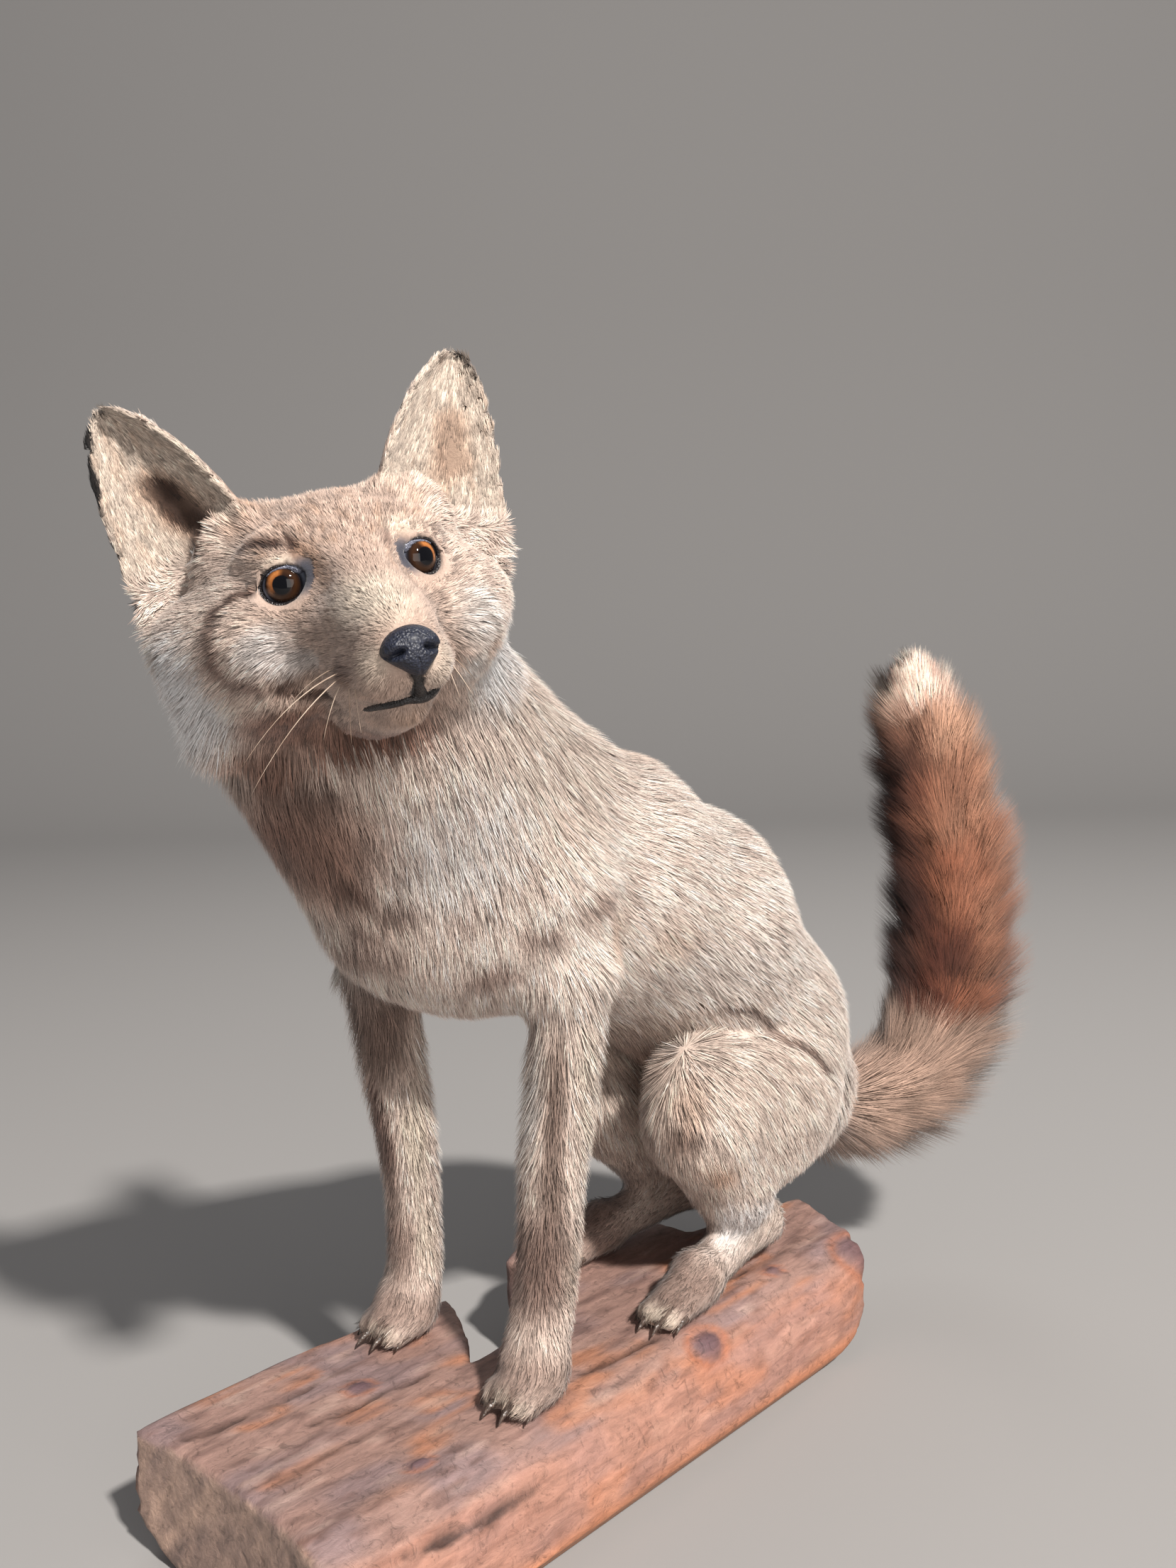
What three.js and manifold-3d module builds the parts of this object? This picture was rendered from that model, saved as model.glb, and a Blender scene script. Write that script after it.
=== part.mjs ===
// A taxidermy red fox, sitting upright on the split log that it is mounted on.
// Millimetres, +Z up. The origin is the centre of the log's flat underside.
// The fox faces -Y, its left side is +X, and its head is turned to its left.
// Every solid of the animal reaches out to the tips of the coat.
import * as THREE from 'three';
import { mergeVertices } from 'three/addons/utils/BufferGeometryUtils.js';
import Module from 'manifold-3d';

const wasm = await Module();
wasm.setup();

// ---- Driving sizes -------------------------------------------------------
const LOG_HEIGHT = 65;
const LOG_LENGTH = 472;
const LOG_FRONT = -233;
const LOG_RISE_START = 150; // behind here the underside climbs clear of the table
const LOG_RISE = 0.4;
const FOX_PLACE = [-37, -5, LOG_HEIGHT]; // the ground point between the paws
const GAP = 0.3; // between neighbouring solids
const GROUND = GAP; // the paws' soles, above the top of the log

// The head: its place is the point midway between the eyes.
const HEAD_PLACE = [80, -191, 411];
const HEAD_TURN = 60.6; // degrees, to the animal's left
const HEAD_NOD = -2.6; // degrees, nose down
const HEAD_TILT = 10.5; // degrees, right side down
const EYE_RADIUS = 11;
const EYE_PLACE = [24, 4, 0];
const EAR_BASE = [51, 56, 15];
const EAR_TIP = [76, 66, 83.5];
const EAR_HALF_WIDTH = 32;
const EAR_WALL = 7;
const EAR_ROOT = 0.22; // the share of its length that is set in the head
const EAR_CUP = 18;
const EAR_BOW = 4; // how far its middle bows away from the crown
const EAR_ROWS = 10;
const EAR_COLUMNS = 8;
const NOSE_PLACE = [1, -72, -29];
const NOSE_RADII = [11, 9, 9.5];

// The flat sides where the folded hind legs meet the trunk.
const HAM_WALL = 40;
const HAM_FLOOR = 56;

// Sizes of the triangles' grid for each kind of part, and how much of a cell a
// part grows by for its seat in a neighbour.
const SEAT_GROWTH = 0.1;
const CELL = { head: 13.2, neck: 21, trunk: 26, tail: 22, foreleg: 14, hindleg: 13.8 };

// ---- Small vector and distance tools -------------------------------------
const sub = (a, b) => [a[0] - b[0], a[1] - b[1], a[2] - b[2]];
const dot = (a, b) => a[0] * b[0] + a[1] * b[1] + a[2] * b[2];
const mix = (a, b, t) => a.map((v, i) => v + (b[i] - v) * t);
const clamp = (v, low, high) => Math.min(high, Math.max(low, v));
const unit = (a) => a.map((v) => v / Math.hypot(...a));
const cross = (a, b) => [a[1] * b[2] - a[2] * b[1], a[2] * b[0] - a[0] * b[2], a[0] * b[1] - a[1] * b[0]];
const mirrored = (p, side) => [p[0] * side, p[1], p[2]];

// A ball that rolls from one point to another while its radius changes.
function cone(p, from, to, r0, r1) {
  const run = sub(to, from);
  const t = clamp(dot(sub(p, from), run) / dot(run, run), 0, 1);
  return Math.hypot(...sub(p, mix(from, to, t))) - (r0 + t * (r1 - r0));
}

function ellipsoid(p, centre, radii) {
  const q = sub(p, centre);
  const k = Math.hypot(q[0] / radii[0], q[1] / radii[1], q[2] / radii[2]);
  const g = Math.hypot(q[0] / radii[0] ** 2, q[1] / radii[1] ** 2, q[2] / radii[2] ** 2);
  return (k * (k - 1)) / (g + 1e-9);
}

// Two surfaces joined with a fillet of about the size k.
function join(a, b, k) {
  const h = Math.max(k - Math.abs(a - b), 0) / k;
  return Math.min(a, b) - (h * h * k) / 4;
}

// A limb or a tail: stations of [x, y, z, radius] with a smooth curve through them.
function smoothStations(stations, steps) {
  const fine = [];
  for (let i = 0; i < stations.length - 1; i += 1) {
    const p0 = stations[Math.max(i - 1, 0)];
    const p1 = stations[i];
    const p2 = stations[i + 1];
    const p3 = stations[Math.min(i + 2, stations.length - 1)];
    for (let j = 0; j < steps; j += 1) {
      const t = j / steps;
      fine.push(p1.map((v, n) => 0.5 * (2 * v + (p2[n] - p0[n]) * t
        + (2 * p0[n] - 5 * v + 4 * p2[n] - p3[n]) * t * t
        + (3 * v - p0[n] - 3 * p2[n] + p3[n]) * t ** 3)));
    }
  }
  fine.push(stations.at(-1));
  return fine;
}

function tube(p, stations) {
  let d = Infinity;
  for (let i = 0; i < stations.length - 1; i += 1) {
    const a = stations[i];
    const b = stations[i + 1];
    d = Math.min(d, cone(p, a.slice(0, 3), b.slice(0, 3), a[3], b[3]));
  }
  return d;
}

// ---- The head ------------------------------------------------------------
// Head coordinates: x to its left, y to the back, z up, from between the eyes.
const headAxes = (() => {
  const [turn, nod, tilt] = [HEAD_TURN, HEAD_NOD, HEAD_TILT].map(THREE.MathUtils.degToRad);
  const ahead = [Math.sin(turn), -Math.cos(turn), 0];
  const left = [Math.cos(turn), Math.sin(turn), 0];
  const nose = [ahead[0] * Math.cos(nod), ahead[1] * Math.cos(nod), Math.sin(nod)];
  const crown = [-ahead[0] * Math.sin(nod), -ahead[1] * Math.sin(nod), Math.cos(nod)];
  const side = left.map((v, i) => v * Math.cos(tilt) + crown[i] * Math.sin(tilt));
  const up = crown.map((v, i) => v * Math.cos(tilt) - left[i] * Math.sin(tilt));
  return [side, nose.map((v) => -v), up];
})();
const toHead = (p) => headAxes.map((axis) => dot(sub(p, HEAD_PLACE), axis));
const fromHead = (q) => HEAD_PLACE.map((v, i) => v + q[0] * headAxes[0][i] + q[1] * headAxes[1][i]
  + q[2] * headAxes[2][i]);

function headField(p) {
  const q = toHead(p);
  const m = [Math.abs(q[0]), q[1], q[2]];
  let d = ellipsoid(q, [0, 42, -9], [53, 56, 45]); // cranium
  d = join(d, ellipsoid(m, [32, 30, -26], [38, 42, 34]), 16); // cheeks
  d = join(d, cone(m, [44, 50, -32], [60, 58, -54], 34, 22), 18); // side whiskers
  d = join(d, ellipsoid(q, [-58, 56, -28], [26, 30, 30]), 16); // ruff, fuller on the right
  d = join(d, cone(q, [0, 4, -16], [0, -58, -30], 32, 17), 14); // muzzle
  d = join(d, cone(q, [0, 12, 4], [0, -64, -21], 23, 8.5), 12); // bridge of the nose
  d = join(d, cone(m, [12, -30, -37], [8, -60, -37], 14, 9), 8); // upper lips
  d = join(d, cone(q, [0, 0, -46], [0, -50, -50], 24, 9.5), 10); // lower jaw
  d = join(d, ellipsoid(m, [24, 12, 12], [18, 16, 11]), 10); // brows
  return join(d, ellipsoid(m, [36, 50, 16], [25, 22, 22]), 14); // roots of the ears
}

// An ear is a cupped leaf: rows from its foot to its tip, each row an arc whose
// ends come forward, so that the rims stand in front of the middle.
const earUp = unit(sub(EAR_TIP, EAR_BASE));
const earLength = Math.hypot(...sub(EAR_TIP, EAR_BASE));
const EAR_LOOK = { left: [0.24, -1, 0.07], right: [0.57, -1, 0.09] }; // ahead and outwards
const earFace = (look) => unit(sub(look, earUp.map((v) => v * dot(look, earUp))));
const earFrame = {
  1: { face: earFace(EAR_LOOK.left), out: cross(earFace(EAR_LOOK.left), earUp) },
  [-1]: { face: earFace(EAR_LOOK.right), out: cross(earFace(EAR_LOOK.right), earUp) },
};

function earPoint(side, t, across, front) {
  const rise = Math.max(t, 0);
  const halfWidth = EAR_HALF_WIDTH * Math.sqrt(1 - rise ** 1.85) * (1 - 0.15 * rise);
  const cup = EAR_CUP * (1 - 0.55 * rise) * across * across;
  const wall = front * EAR_WALL * 0.5 * (1 - 0.5 * Math.abs(across)) * (1 - 0.4 * rise);
  const out = across * halfWidth + EAR_BOW * rise * (1 - rise);
  const frame = earFrame[side];
  const local = EAR_BASE.map((v, i) => v + earUp[i] * t * earLength + frame.out[i] * out
    + frame.face[i] * (cup + wall - 8 * (1 - rise)));
  return fromHead(mirrored(local, side));
}

function earSolid(side, growth) {
  const points = [];
  const at = (row, column, back) => (row * (EAR_COLUMNS + 1) + column) * 2 + back;
  for (let row = 0; row <= EAR_ROWS; row += 1) {
    const t = (1 - (1 - row / EAR_ROWS) ** 1.5) * (0.995 + EAR_ROOT) - EAR_ROOT; // closer at the tip
    for (let column = 0; column <= EAR_COLUMNS; column += 1) {
      const across = ((column / EAR_COLUMNS) * 2 - 1) * (1 + growth / EAR_HALF_WIDTH);
      const thick = 1 + (2.2 * growth) / EAR_WALL;
      points.push(earPoint(side, t, across, thick), earPoint(side, t, across, -thick));
    }
  }
  const index = [];
  const quad = (a, b, c, d) => {
    const turn = side < 0 ? [a, b, c, a, c, d] : [a, c, b, a, d, c];
    index.push(...turn);
  };
  for (let row = 0; row < EAR_ROWS; row += 1) {
    for (let column = 0; column < EAR_COLUMNS; column += 1) {
      const [a, b] = [at(row, column, 0), at(row, column + 1, 0)];
      const [c, d] = [at(row + 1, column + 1, 0), at(row + 1, column, 0)];
      quad(a, b, c, d);
      quad(d + 1, c + 1, b + 1, a + 1);
    }
    const [first, last] = [0, EAR_COLUMNS];
    quad(at(row, first, 1), at(row, first, 0), at(row + 1, first, 0), at(row + 1, first, 1));
    quad(at(row, last, 0), at(row, last, 1), at(row + 1, last, 1), at(row + 1, last, 0));
  }
  for (let column = 0; column < EAR_COLUMNS; column += 1) {
    quad(at(0, column, 0), at(0, column, 1), at(0, column + 1, 1), at(0, column + 1, 0));
    quad(at(EAR_ROWS, column, 1), at(EAR_ROWS, column, 0), at(EAR_ROWS, column + 1, 0), at(EAR_ROWS, column + 1, 1));
  }
  const geometry = new THREE.BufferGeometry();
  geometry.setAttribute('position', new THREE.Float32BufferAttribute(points.flat(), 3));
  geometry.setIndex(index);
  return solidFrom(geometry);
}

// ---- Neck and trunk ------------------------------------------------------
function neckField(p) {
  let d = cone(p, [-3, -60, 290], [22, -146, 362], 70, 58);
  d = join(d, cone(p, [-14, -90, 262], [-4, -150, 338], 50, 46), 24); // throat
  return join(d, cone(p, [0, -5, 304], [30, -128, 371], 44, 45), 20); // nape
}

function trunkField(p) {
  let d = cone([p[0] / 0.95, p[1], p[2]], [-6, -50, 258], [-2, 40, 243], 72, 72); // chest
  d = join(d, cone(p, [-2, 40, 241], [0, 108, 209], 72, 73), 20); // loin
  d = join(d, cone(p, [0, 108, 209], [0, 175, 138], 73, 69), 20); // belly
  d = join(d, cone(p, [0, 175, 132], [0, 210, 90], 67, 60), 20); // rump
  d = join(d, cone(p, [-5, -14, 290], [-3, 60, 268], 42, 48), 20); // withers
  d = join(d, cone(p, [38, -40, 256], [42, -38, 222], 36, 30), 16); // left upper arm
  return join(d, cone(p, [-52, -62, 248], [-56, -64, 215], 36, 28), 16); // right upper arm
}

// ---- Legs and tail -------------------------------------------------------
// Stations down each foreleg, from the elbow to the wrist.
const FORELEG = {
  left: [[46, -36, 215, 30], [48, -38, 190, 25], [48, -42, 160, 22], [48, -50, 118, 20],
    [48, -56, 72, 18], [48, -62, 42, 17.5], [48, -68, 24, 18]],
  right: [[-58, -64, 205, 29], [-60, -62, 178, 24], [-60, -58, 147, 21], [-60, -51, 105, 19],
    [-60, -49, 65, 17], [-60, -50, 34, 17], [-60, -56, 22, 17]],
};
const TAIL = [[0, 225, 75, 36], [6, 268, 58, 42], [34, 316, 64, 48], [58, 341, 108, 51],
  [64, 345, 165, 49], [64, 345, 215, 47], [58, 342, 260, 45], [50, 339, 298, 40],
  [44, 337, 326, 31], [42, 336, 342, 21]];

function foreleg(stations) {
  const fine = smoothStations(stations, 3);
  const [x, y] = stations.at(-1);
  return (p) => {
    let d = join(tube(p, fine), cone(p, [x, y, 16], [x, y - 14, 11], 17, 13), 10); // paw
    for (const side of [-1, 1]) {
      d = join(d, cone(p, [x + 8 * side, y - 2, 11], [x + 10 * side, y - 19, 8], 11, 8.5), 6); // toes
    }
    return d;
  };
}

// The hind legs are folded under the sitting animal. The right one stands
// further back, on the rear lobe of the log.
const HIND_SHIFT = { left: 0, right: 26 };

function hindleg(side, shift) {
  return (world) => {
    const ham = mirrored(world, side);
    const p = [ham[0], ham[1] - shift, ham[2]];
    let d = ellipsoid(ham, [44, 141, 106], [35, 74, 62]); // ham
    d = join(d, ellipsoid(p, [46, 86, 122], [30, 47, 40]), 14); // thigh and knee
    d = join(d, cone(p, [46, 74, 104], [44, 110, 52], 32, 22), 14); // shank
    d = join(d, cone(p, [44, 104, 60], [36, 148, 24], 22, 13), 10); // hock
    d = join(d, cone(p, [35, 146, 20], [46, 70, 16], 13, 15), 18); // long foot
    d = join(d, cone(p, [47, 68, 15], [49, 44, 12], 17, 13), 8); // paw
    for (const toe of [-1, 0, 1]) {
      d = join(d, cone(p, [48 + 7 * toe, 60, 11], [49 + 8 * toe, 31, 7.5], 10, 8), 5); // toes
    }
    return d;
  };
}

const tailStations = smoothStations(TAIL, 3);
const tailField = (p) => tube(p, tailStations);

// Head, neck and trunk flow into each other, and the legs' tops into the trunk.
const forelegField = { left: foreleg(FORELEG.left), right: foreleg(FORELEG.right) };
function coreField(p) {
  let d = join(trunkField(p), neckField(p), 26);
  d = join(d, headField(p), 16);
  return d;
}

// ---- From a distance field to a closed solid -----------------------------
// Each grid cell that the surface crosses gets one vertex, which is then moved
// onto the surface along the field's slope, and each crossed edge one quad.
function solidOf(field, boxLow, boxHigh, cell) {
  const low = boxLow.map((v) => v - cell);
  const n = low.map((v, i) => Math.ceil((boxHigh[i] - v) / cell) + 2);
  const at = (i, j, k) => (k * n[1] + j) * n[0] + i;
  const place = (i, j, k) => [low[0] + i * cell, low[1] + j * cell, low[2] + k * cell];
  const value = new Float64Array(n[0] * n[1] * n[2]);
  for (let k = 0; k < n[2]; k += 1) {
    for (let j = 0; j < n[1]; j += 1) {
      for (let i = 0; i < n[0]; i += 1) {
        const rim = [i, j, k].some((v, axis) => v === 0 || v === n[axis] - 1);
        value[at(i, j, k)] = Math.max(field(place(i, j, k)), rim ? cell / 2 : -Infinity);
      }
    }
  }
  const corner = [[0, 0, 0], [1, 0, 0], [0, 1, 0], [1, 1, 0], [0, 0, 1], [1, 0, 1], [0, 1, 1], [1, 1, 1]];
  const edges = [[0, 1], [2, 3], [4, 5], [6, 7], [0, 2], [1, 3], [4, 6], [5, 7], [0, 4], [1, 5], [2, 6], [3, 7]];
  const vertexOf = new Map();
  const points = [];
  for (let k = 0; k < n[2] - 1; k += 1) {
    for (let j = 0; j < n[1] - 1; j += 1) {
      for (let i = 0; i < n[0] - 1; i += 1) {
        const values = corner.map((c) => value[at(i + c[0], j + c[1], k + c[2])]);
        const hits = edges.filter(([a, b]) => (values[a] < 0) !== (values[b] < 0)).map(([a, b]) => {
          const t = values[a] / (values[a] - values[b]);
          return mix(corner[a], corner[b], t);
        });
        if (hits.length > 0) {
          const mean = [0, 1, 2].map((axis) => hits.reduce((sum, h) => sum + h[axis], 0) / hits.length);
          vertexOf.set(at(i, j, k), points.length);
          points.push(settle(field, place(i + mean[0], j + mean[1], k + mean[2]), cell));
        }
      }
    }
  }
  const index = [];
  const steps = [[1, 0, 0], [0, 1, 0], [0, 0, 1]];
  for (let k = 0; k < n[2] - 1; k += 1) {
    for (let j = 0; j < n[1] - 1; j += 1) {
      for (let i = 0; i < n[0] - 1; i += 1) {
        steps.forEach((step, axis) => {
          if ([i, j, k].some((v, other) => v === 0 && other !== axis)) return;
          const here = value[at(i, j, k)] < 0;
          const there = value[at(i + step[0], j + step[1], k + step[2])] < 0;
          if (here === there) return;
          const [u, v] = [steps[(axis + 1) % 3], steps[(axis + 2) % 3]];
          const ring = [[0, 0], [1, 0], [1, 1], [0, 1]].map(([a, b]) => vertexOf.get(
            at(i - a * u[0] - b * v[0], j - a * u[1] - b * v[1], k - a * u[2] - b * v[2]),
          ));
          if (there) ring.reverse();
          index.push(ring[0], ring[1], ring[2], ring[0], ring[2], ring[3]);
        });
      }
    }
  }
  const geometry = new THREE.BufferGeometry();
  geometry.setAttribute('position', new THREE.Float32BufferAttribute(points.flat(), 3));
  geometry.setIndex(index);
  return solidFrom(geometry);
}

// Moves a vertex onto the surface, by no more than a third of a cell each way.
function settle(field, start, cell) {
  const h = 0.5;
  let p = start;
  for (let pass = 0; pass < 3; pass += 1) {
    const d = field(p);
    const slope = [0, 1, 2].map((axis) => {
      const q = [...p];
      q[axis] += h;
      return (field(q) - d) / h;
    });
    const size = dot(slope, slope) + 1e-6;
    p = p.map((v, axis) => clamp(v - (slope[axis] * d) / size, start[axis] - cell / 3, start[axis] + cell / 3));
  }
  return p;
}

function solidFrom(geometry) {
  const bare = geometry.clone();
  bare.deleteAttribute('normal');
  bare.deleteAttribute('uv');
  const merged = mergeVertices(bare, 1e-4);
  return new wasm.Manifold(new wasm.Mesh({
    numProp: 3,
    vertProperties: merged.attributes.position.array,
    triVerts: new Uint32Array(merged.index.array),
  }));
}

// Everything on the side of a plane that the direction points to.
function halfSpace(point, direction) {
  const reach = 1200;
  const geometry = new THREE.BoxGeometry(reach, reach, reach);
  geometry.translate(0, 0, reach / 2);
  const turn = new THREE.Quaternion().setFromUnitVectors(
    new THREE.Vector3(0, 0, 1),
    new THREE.Vector3(...unit(direction)),
  );
  geometry.applyQuaternion(turn);
  geometry.translate(...point);
  return solidFrom(geometry);
}

const shifted = (point, direction, by) => point.map((v, i) => v + unit(direction)[i] * by);

// A limb cut off by a plane, and the same limb a gap larger, to cut its seat.
function limb(field, low, high, cell, point, direction) {
  const ground = halfSpace([0, 0, GROUND], [0, 0, 1]);
  const solid = solidOf(field, low, high, cell).intersect(halfSpace(point, direction)).intersect(ground);
  const grown = solidOf((p) => field(p) - cell * SEAT_GROWTH, low, high, cell);
  return { solid, seat: grown.intersect(halfSpace(shifted(point, direction, -GAP), direction)) };
}

function ball(centre, radii, wide, high) {
  const geometry = new THREE.SphereGeometry(1, wide, high);
  geometry.scale(...radii);
  geometry.applyMatrix4(new THREE.Matrix4().makeBasis(...headAxes.map((a) => new THREE.Vector3(...a))));
  geometry.translate(...fromHead(centre));
  return solidFrom(geometry);
}

// ---- The animal's solids -------------------------------------------------
// A hind leg lies flat against the trunk, so its upper part ends at a wall.
function hindLimb(side, shift) {
  const low = side > 0 ? [-5, 5, -12] : [-95, 5, -12];
  const high = side > 0 ? [95, 230, 190] : [5, 230, 190];
  const leg = limb(hindleg(side, shift), low, high, CELL.hindleg, [side * 10, 0, 0], [side, 0, 0]);
  const inner = (gap) => halfSpace([side * (HAM_WALL - gap), 0, 0], [-side, 0, 0])
    .intersect(halfSpace([0, 0, HAM_FLOOR + gap], [0, 0, 1]));
  return { solid: leg.solid.subtract(inner(0)), seat: leg.seat.subtract(inner(GAP)) };
}

const legs = {
  foreleg_left: limb(forelegField.left, [10, -125, -12], [95, 15, 250], CELL.foreleg, [0, 0, 196], [0, -0.25, -1]),
  foreleg_right: limb(forelegField.right, [-105, -115, -12], [-15, -20, 245], CELL.foreleg, [0, 0, 182], [0, -0.25, -1]),
  hindleg_left: hindLimb(1, HIND_SHIFT.left),
  hindleg_right: hindLimb(-1, HIND_SHIFT.right),
};
const tail = limb(tailField, [-60, 170, 0], [135, 415, 385], CELL.tail, [0, 232, 75], [0.1, 1, -0.1]);
const TAIL_SPLIT = [60, 340, 128];

const neckPlane = { point: [0, -72, 300], direction: [0.1, -0.62, 0.78] };
const headDirection = headAxes[1].map((v, i) => -0.825 * v + 0.565 * headAxes[2][i]);
const headPlane = { point: fromHead([0, 110, 10]), direction: headDirection };
const core = (low, high, cell) => solidOf(coreField, low, high, cell);
const ahead = (plane, by) => halfSpace(shifted(plane.point, plane.direction, by), plane.direction);
const behind = (plane, by) => halfSpace(
  shifted(plane.point, plane.direction, -by),
  plane.direction.map((v) => -v),
);

// The largest of the pieces that a cut leaves.
const largest = (solid) => solid.decompose().sort((a, b) => b.volume() - a.volume())[0];

const parts = {};
parts.trunk = core([-95, -175, 0], [95, 300, 365], CELL.trunk).intersect(behind(neckPlane, GAP / 2));
for (const leg of Object.values(legs)) parts.trunk = parts.trunk.subtract(leg.seat);
parts.trunk = parts.trunk.subtract(tail.seat);
parts.neck = core([-90, -245, 170], [120, 20, 460], CELL.neck).intersect(ahead(neckPlane, GAP / 2))
  .intersect(behind(headPlane, GAP / 2));
parts.head = core([-60, -320, 300], [210, -60, 490], CELL.head).intersect(ahead(headPlane, GAP / 2));
for (const [name, leg] of Object.entries(legs)) parts[name] = leg.solid;
parts.tail_base = tail.solid.intersect(halfSpace(shifted(TAIL_SPLIT, [0, 0, 1], -GAP / 2), [0, 0, -1]));
parts.tail_brush = tail.solid.intersect(halfSpace(shifted(TAIL_SPLIT, [0, 0, 1], GAP / 2), [0, 0, 1]));

for (const [name, side] of [['left', 1], ['right', -1]]) {
  parts[`ear_${name}`] = earSolid(side, 0);
  parts.head = largest(parts.head.subtract(earSolid(side, 2 * GAP)));
  const place = mirrored(EYE_PLACE, side);
  const eye = ball(place, [EYE_RADIUS, EYE_RADIUS, EYE_RADIUS], 12, 8);
  const socket = ball(place, [EYE_RADIUS + GAP, EYE_RADIUS + GAP, EYE_RADIUS + GAP], 12, 8);
  const opening = ball([place[0] + side * 4, place[1] - 12, place[2] - 0.5], [9, 12, 7.5], 8, 6);
  parts.head = parts.head.subtract(socket.add(opening));
  parts[`eye_${name}`] = eye;
}
const noseSeat = ball(NOSE_PLACE, NOSE_RADII.map((r) => r + GAP), 12, 8);
parts.nose = ball(NOSE_PLACE, NOSE_RADII, 12, 8);
parts.head = parts.head.subtract(noseSeat);

// ---- The log -------------------------------------------------------------
// Half of a split trunk, flat below. Its far side has a deep fork, sawn square.
function logSolid() {
  const plan = new THREE.Shape();
  plan.moveTo(50, LOG_FRONT);
  plan.quadraticCurveTo(60, -60, 50, 120);
  plan.quadraticCurveTo(48, 190, 36, 202);
  plan.lineTo(-35, LOG_FRONT + LOG_LENGTH);
  plan.lineTo(-60, 148);
  plan.quadraticCurveTo(-142, 152, -150, 92);
  plan.lineTo(-122, 42);
  plan.lineTo(-62, 28);
  plan.quadraticCurveTo(-48, -20, -45, -64);
  plan.quadraticCurveTo(-72, -36, -111, -17);
  plan.quadraticCurveTo(-134, -90, -128, LOG_FRONT + 16);
  plan.quadraticCurveTo(-40, LOG_FRONT + 22, 50, LOG_FRONT);
  const slab = new THREE.ExtrudeGeometry(plan, { depth: LOG_HEIGHT + 20, bevelEnabled: false, curveSegments: 8 });
  slab.translate(0, 0, -10);
  const section = new THREE.Shape();
  section.moveTo(-95, 0);
  section.lineTo(38, 0);
  section.lineTo(51, 14);
  section.quadraticCurveTo(50, 56, 20, LOG_HEIGHT);
  section.lineTo(-128, LOG_HEIGHT);
  section.quadraticCurveTo(-150, 64, -153, 50);
  section.quadraticCurveTo(-130, 12, -95, 0);
  const bar = new THREE.ExtrudeGeometry(section, { depth: 600, bevelEnabled: false, curveSegments: 8 });
  bar.rotateX(Math.PI / 2);
  bar.translate(0, 300, 0);
  const underside = halfSpace([0, LOG_RISE_START, 0], [0, -LOG_RISE, 1]);
  return solidFrom(slab).intersect(solidFrom(bar)).intersect(underside);
}

// ---- The named nodes -----------------------------------------------------
const coat = (colour) => new THREE.MeshStandardMaterial({ color: colour, roughness: 0.9, metalness: 0 });
const finishes = {
  head: coat(0xb49a80),
  neck: coat(0xa9937c),
  trunk: coat(0xb5a08a),
  tail_base: coat(0x8f7a66),
  tail_brush: coat(0xa5714d),
  ear_left: coat(0xd9c7ae),
  ear_right: coat(0xd9c7ae),
  foreleg_left: coat(0x8d7867),
  foreleg_right: coat(0x8d7867),
  hindleg_left: coat(0xab9580),
  hindleg_right: coat(0xab9580),
  eye_left: new THREE.MeshStandardMaterial({ color: 0x9a5a22, roughness: 0.08, metalness: 0 }),
  eye_right: new THREE.MeshStandardMaterial({ color: 0x9a5a22, roughness: 0.08, metalness: 0 }),
  nose: new THREE.MeshStandardMaterial({ color: 0x1d2129, roughness: 0.45, metalness: 0 }),
  log_base: new THREE.MeshStandardMaterial({ color: 0x9a6f58, roughness: 0.85, metalness: 0 }),
};

function meshOf(name, solid) {
  const mesh = solid.getMesh();
  const geometry = new THREE.BufferGeometry();
  geometry.setAttribute('position', new THREE.Float32BufferAttribute(mesh.vertProperties, 3));
  geometry.setIndex(new THREE.Uint32BufferAttribute(mesh.triVerts, 1));
  geometry.computeVertexNormals();
  const node = new THREE.Mesh(geometry, finishes[name]);
  node.name = name;
  return node;
}

const fox = new THREE.Group();
fox.position.set(...FOX_PLACE);
for (const [name, solid] of Object.entries(parts)) fox.add(meshOf(name, solid));

const mount = new THREE.Group();
mount.add(fox);
mount.add(meshOf('log_base', logSolid()));

export default mount;
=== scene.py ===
"""A taxidermy red fox that sits on half a log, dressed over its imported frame.

Metres, +Z up. The fox faces -Y, its left side is +X, its head is turned to its left.
"""

import bpy
import numpy as np
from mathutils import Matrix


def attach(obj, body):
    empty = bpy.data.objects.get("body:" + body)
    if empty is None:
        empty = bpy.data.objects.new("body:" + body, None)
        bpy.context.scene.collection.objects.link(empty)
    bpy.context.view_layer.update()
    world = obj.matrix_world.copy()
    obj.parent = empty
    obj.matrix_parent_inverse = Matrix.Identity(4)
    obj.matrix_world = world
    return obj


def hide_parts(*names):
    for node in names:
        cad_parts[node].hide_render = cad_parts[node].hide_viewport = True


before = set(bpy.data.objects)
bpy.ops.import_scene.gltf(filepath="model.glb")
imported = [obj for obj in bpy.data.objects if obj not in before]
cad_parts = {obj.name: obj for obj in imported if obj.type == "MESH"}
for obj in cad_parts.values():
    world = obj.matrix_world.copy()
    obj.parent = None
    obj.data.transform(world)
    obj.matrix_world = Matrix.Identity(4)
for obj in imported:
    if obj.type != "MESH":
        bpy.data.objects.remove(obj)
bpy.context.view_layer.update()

# ---- The studio: camera, floor and light ---------------------------------------
# A plain grey paper floor that curves up behind the log, and three square lamps: a small
# warm key high in front, to the animal's left, a wide weak one low in front, and a weak
# one behind its right shoulder. Pale blue air fills the shade.
FOCAL_LENGTH_BY_PICTURE_HEIGHT = 2124 / 2212
camera_data = bpy.data.cameras.new("camera")
camera_data.sensor_fit = "VERTICAL"
camera_data.sensor_height = 36.0
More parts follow.
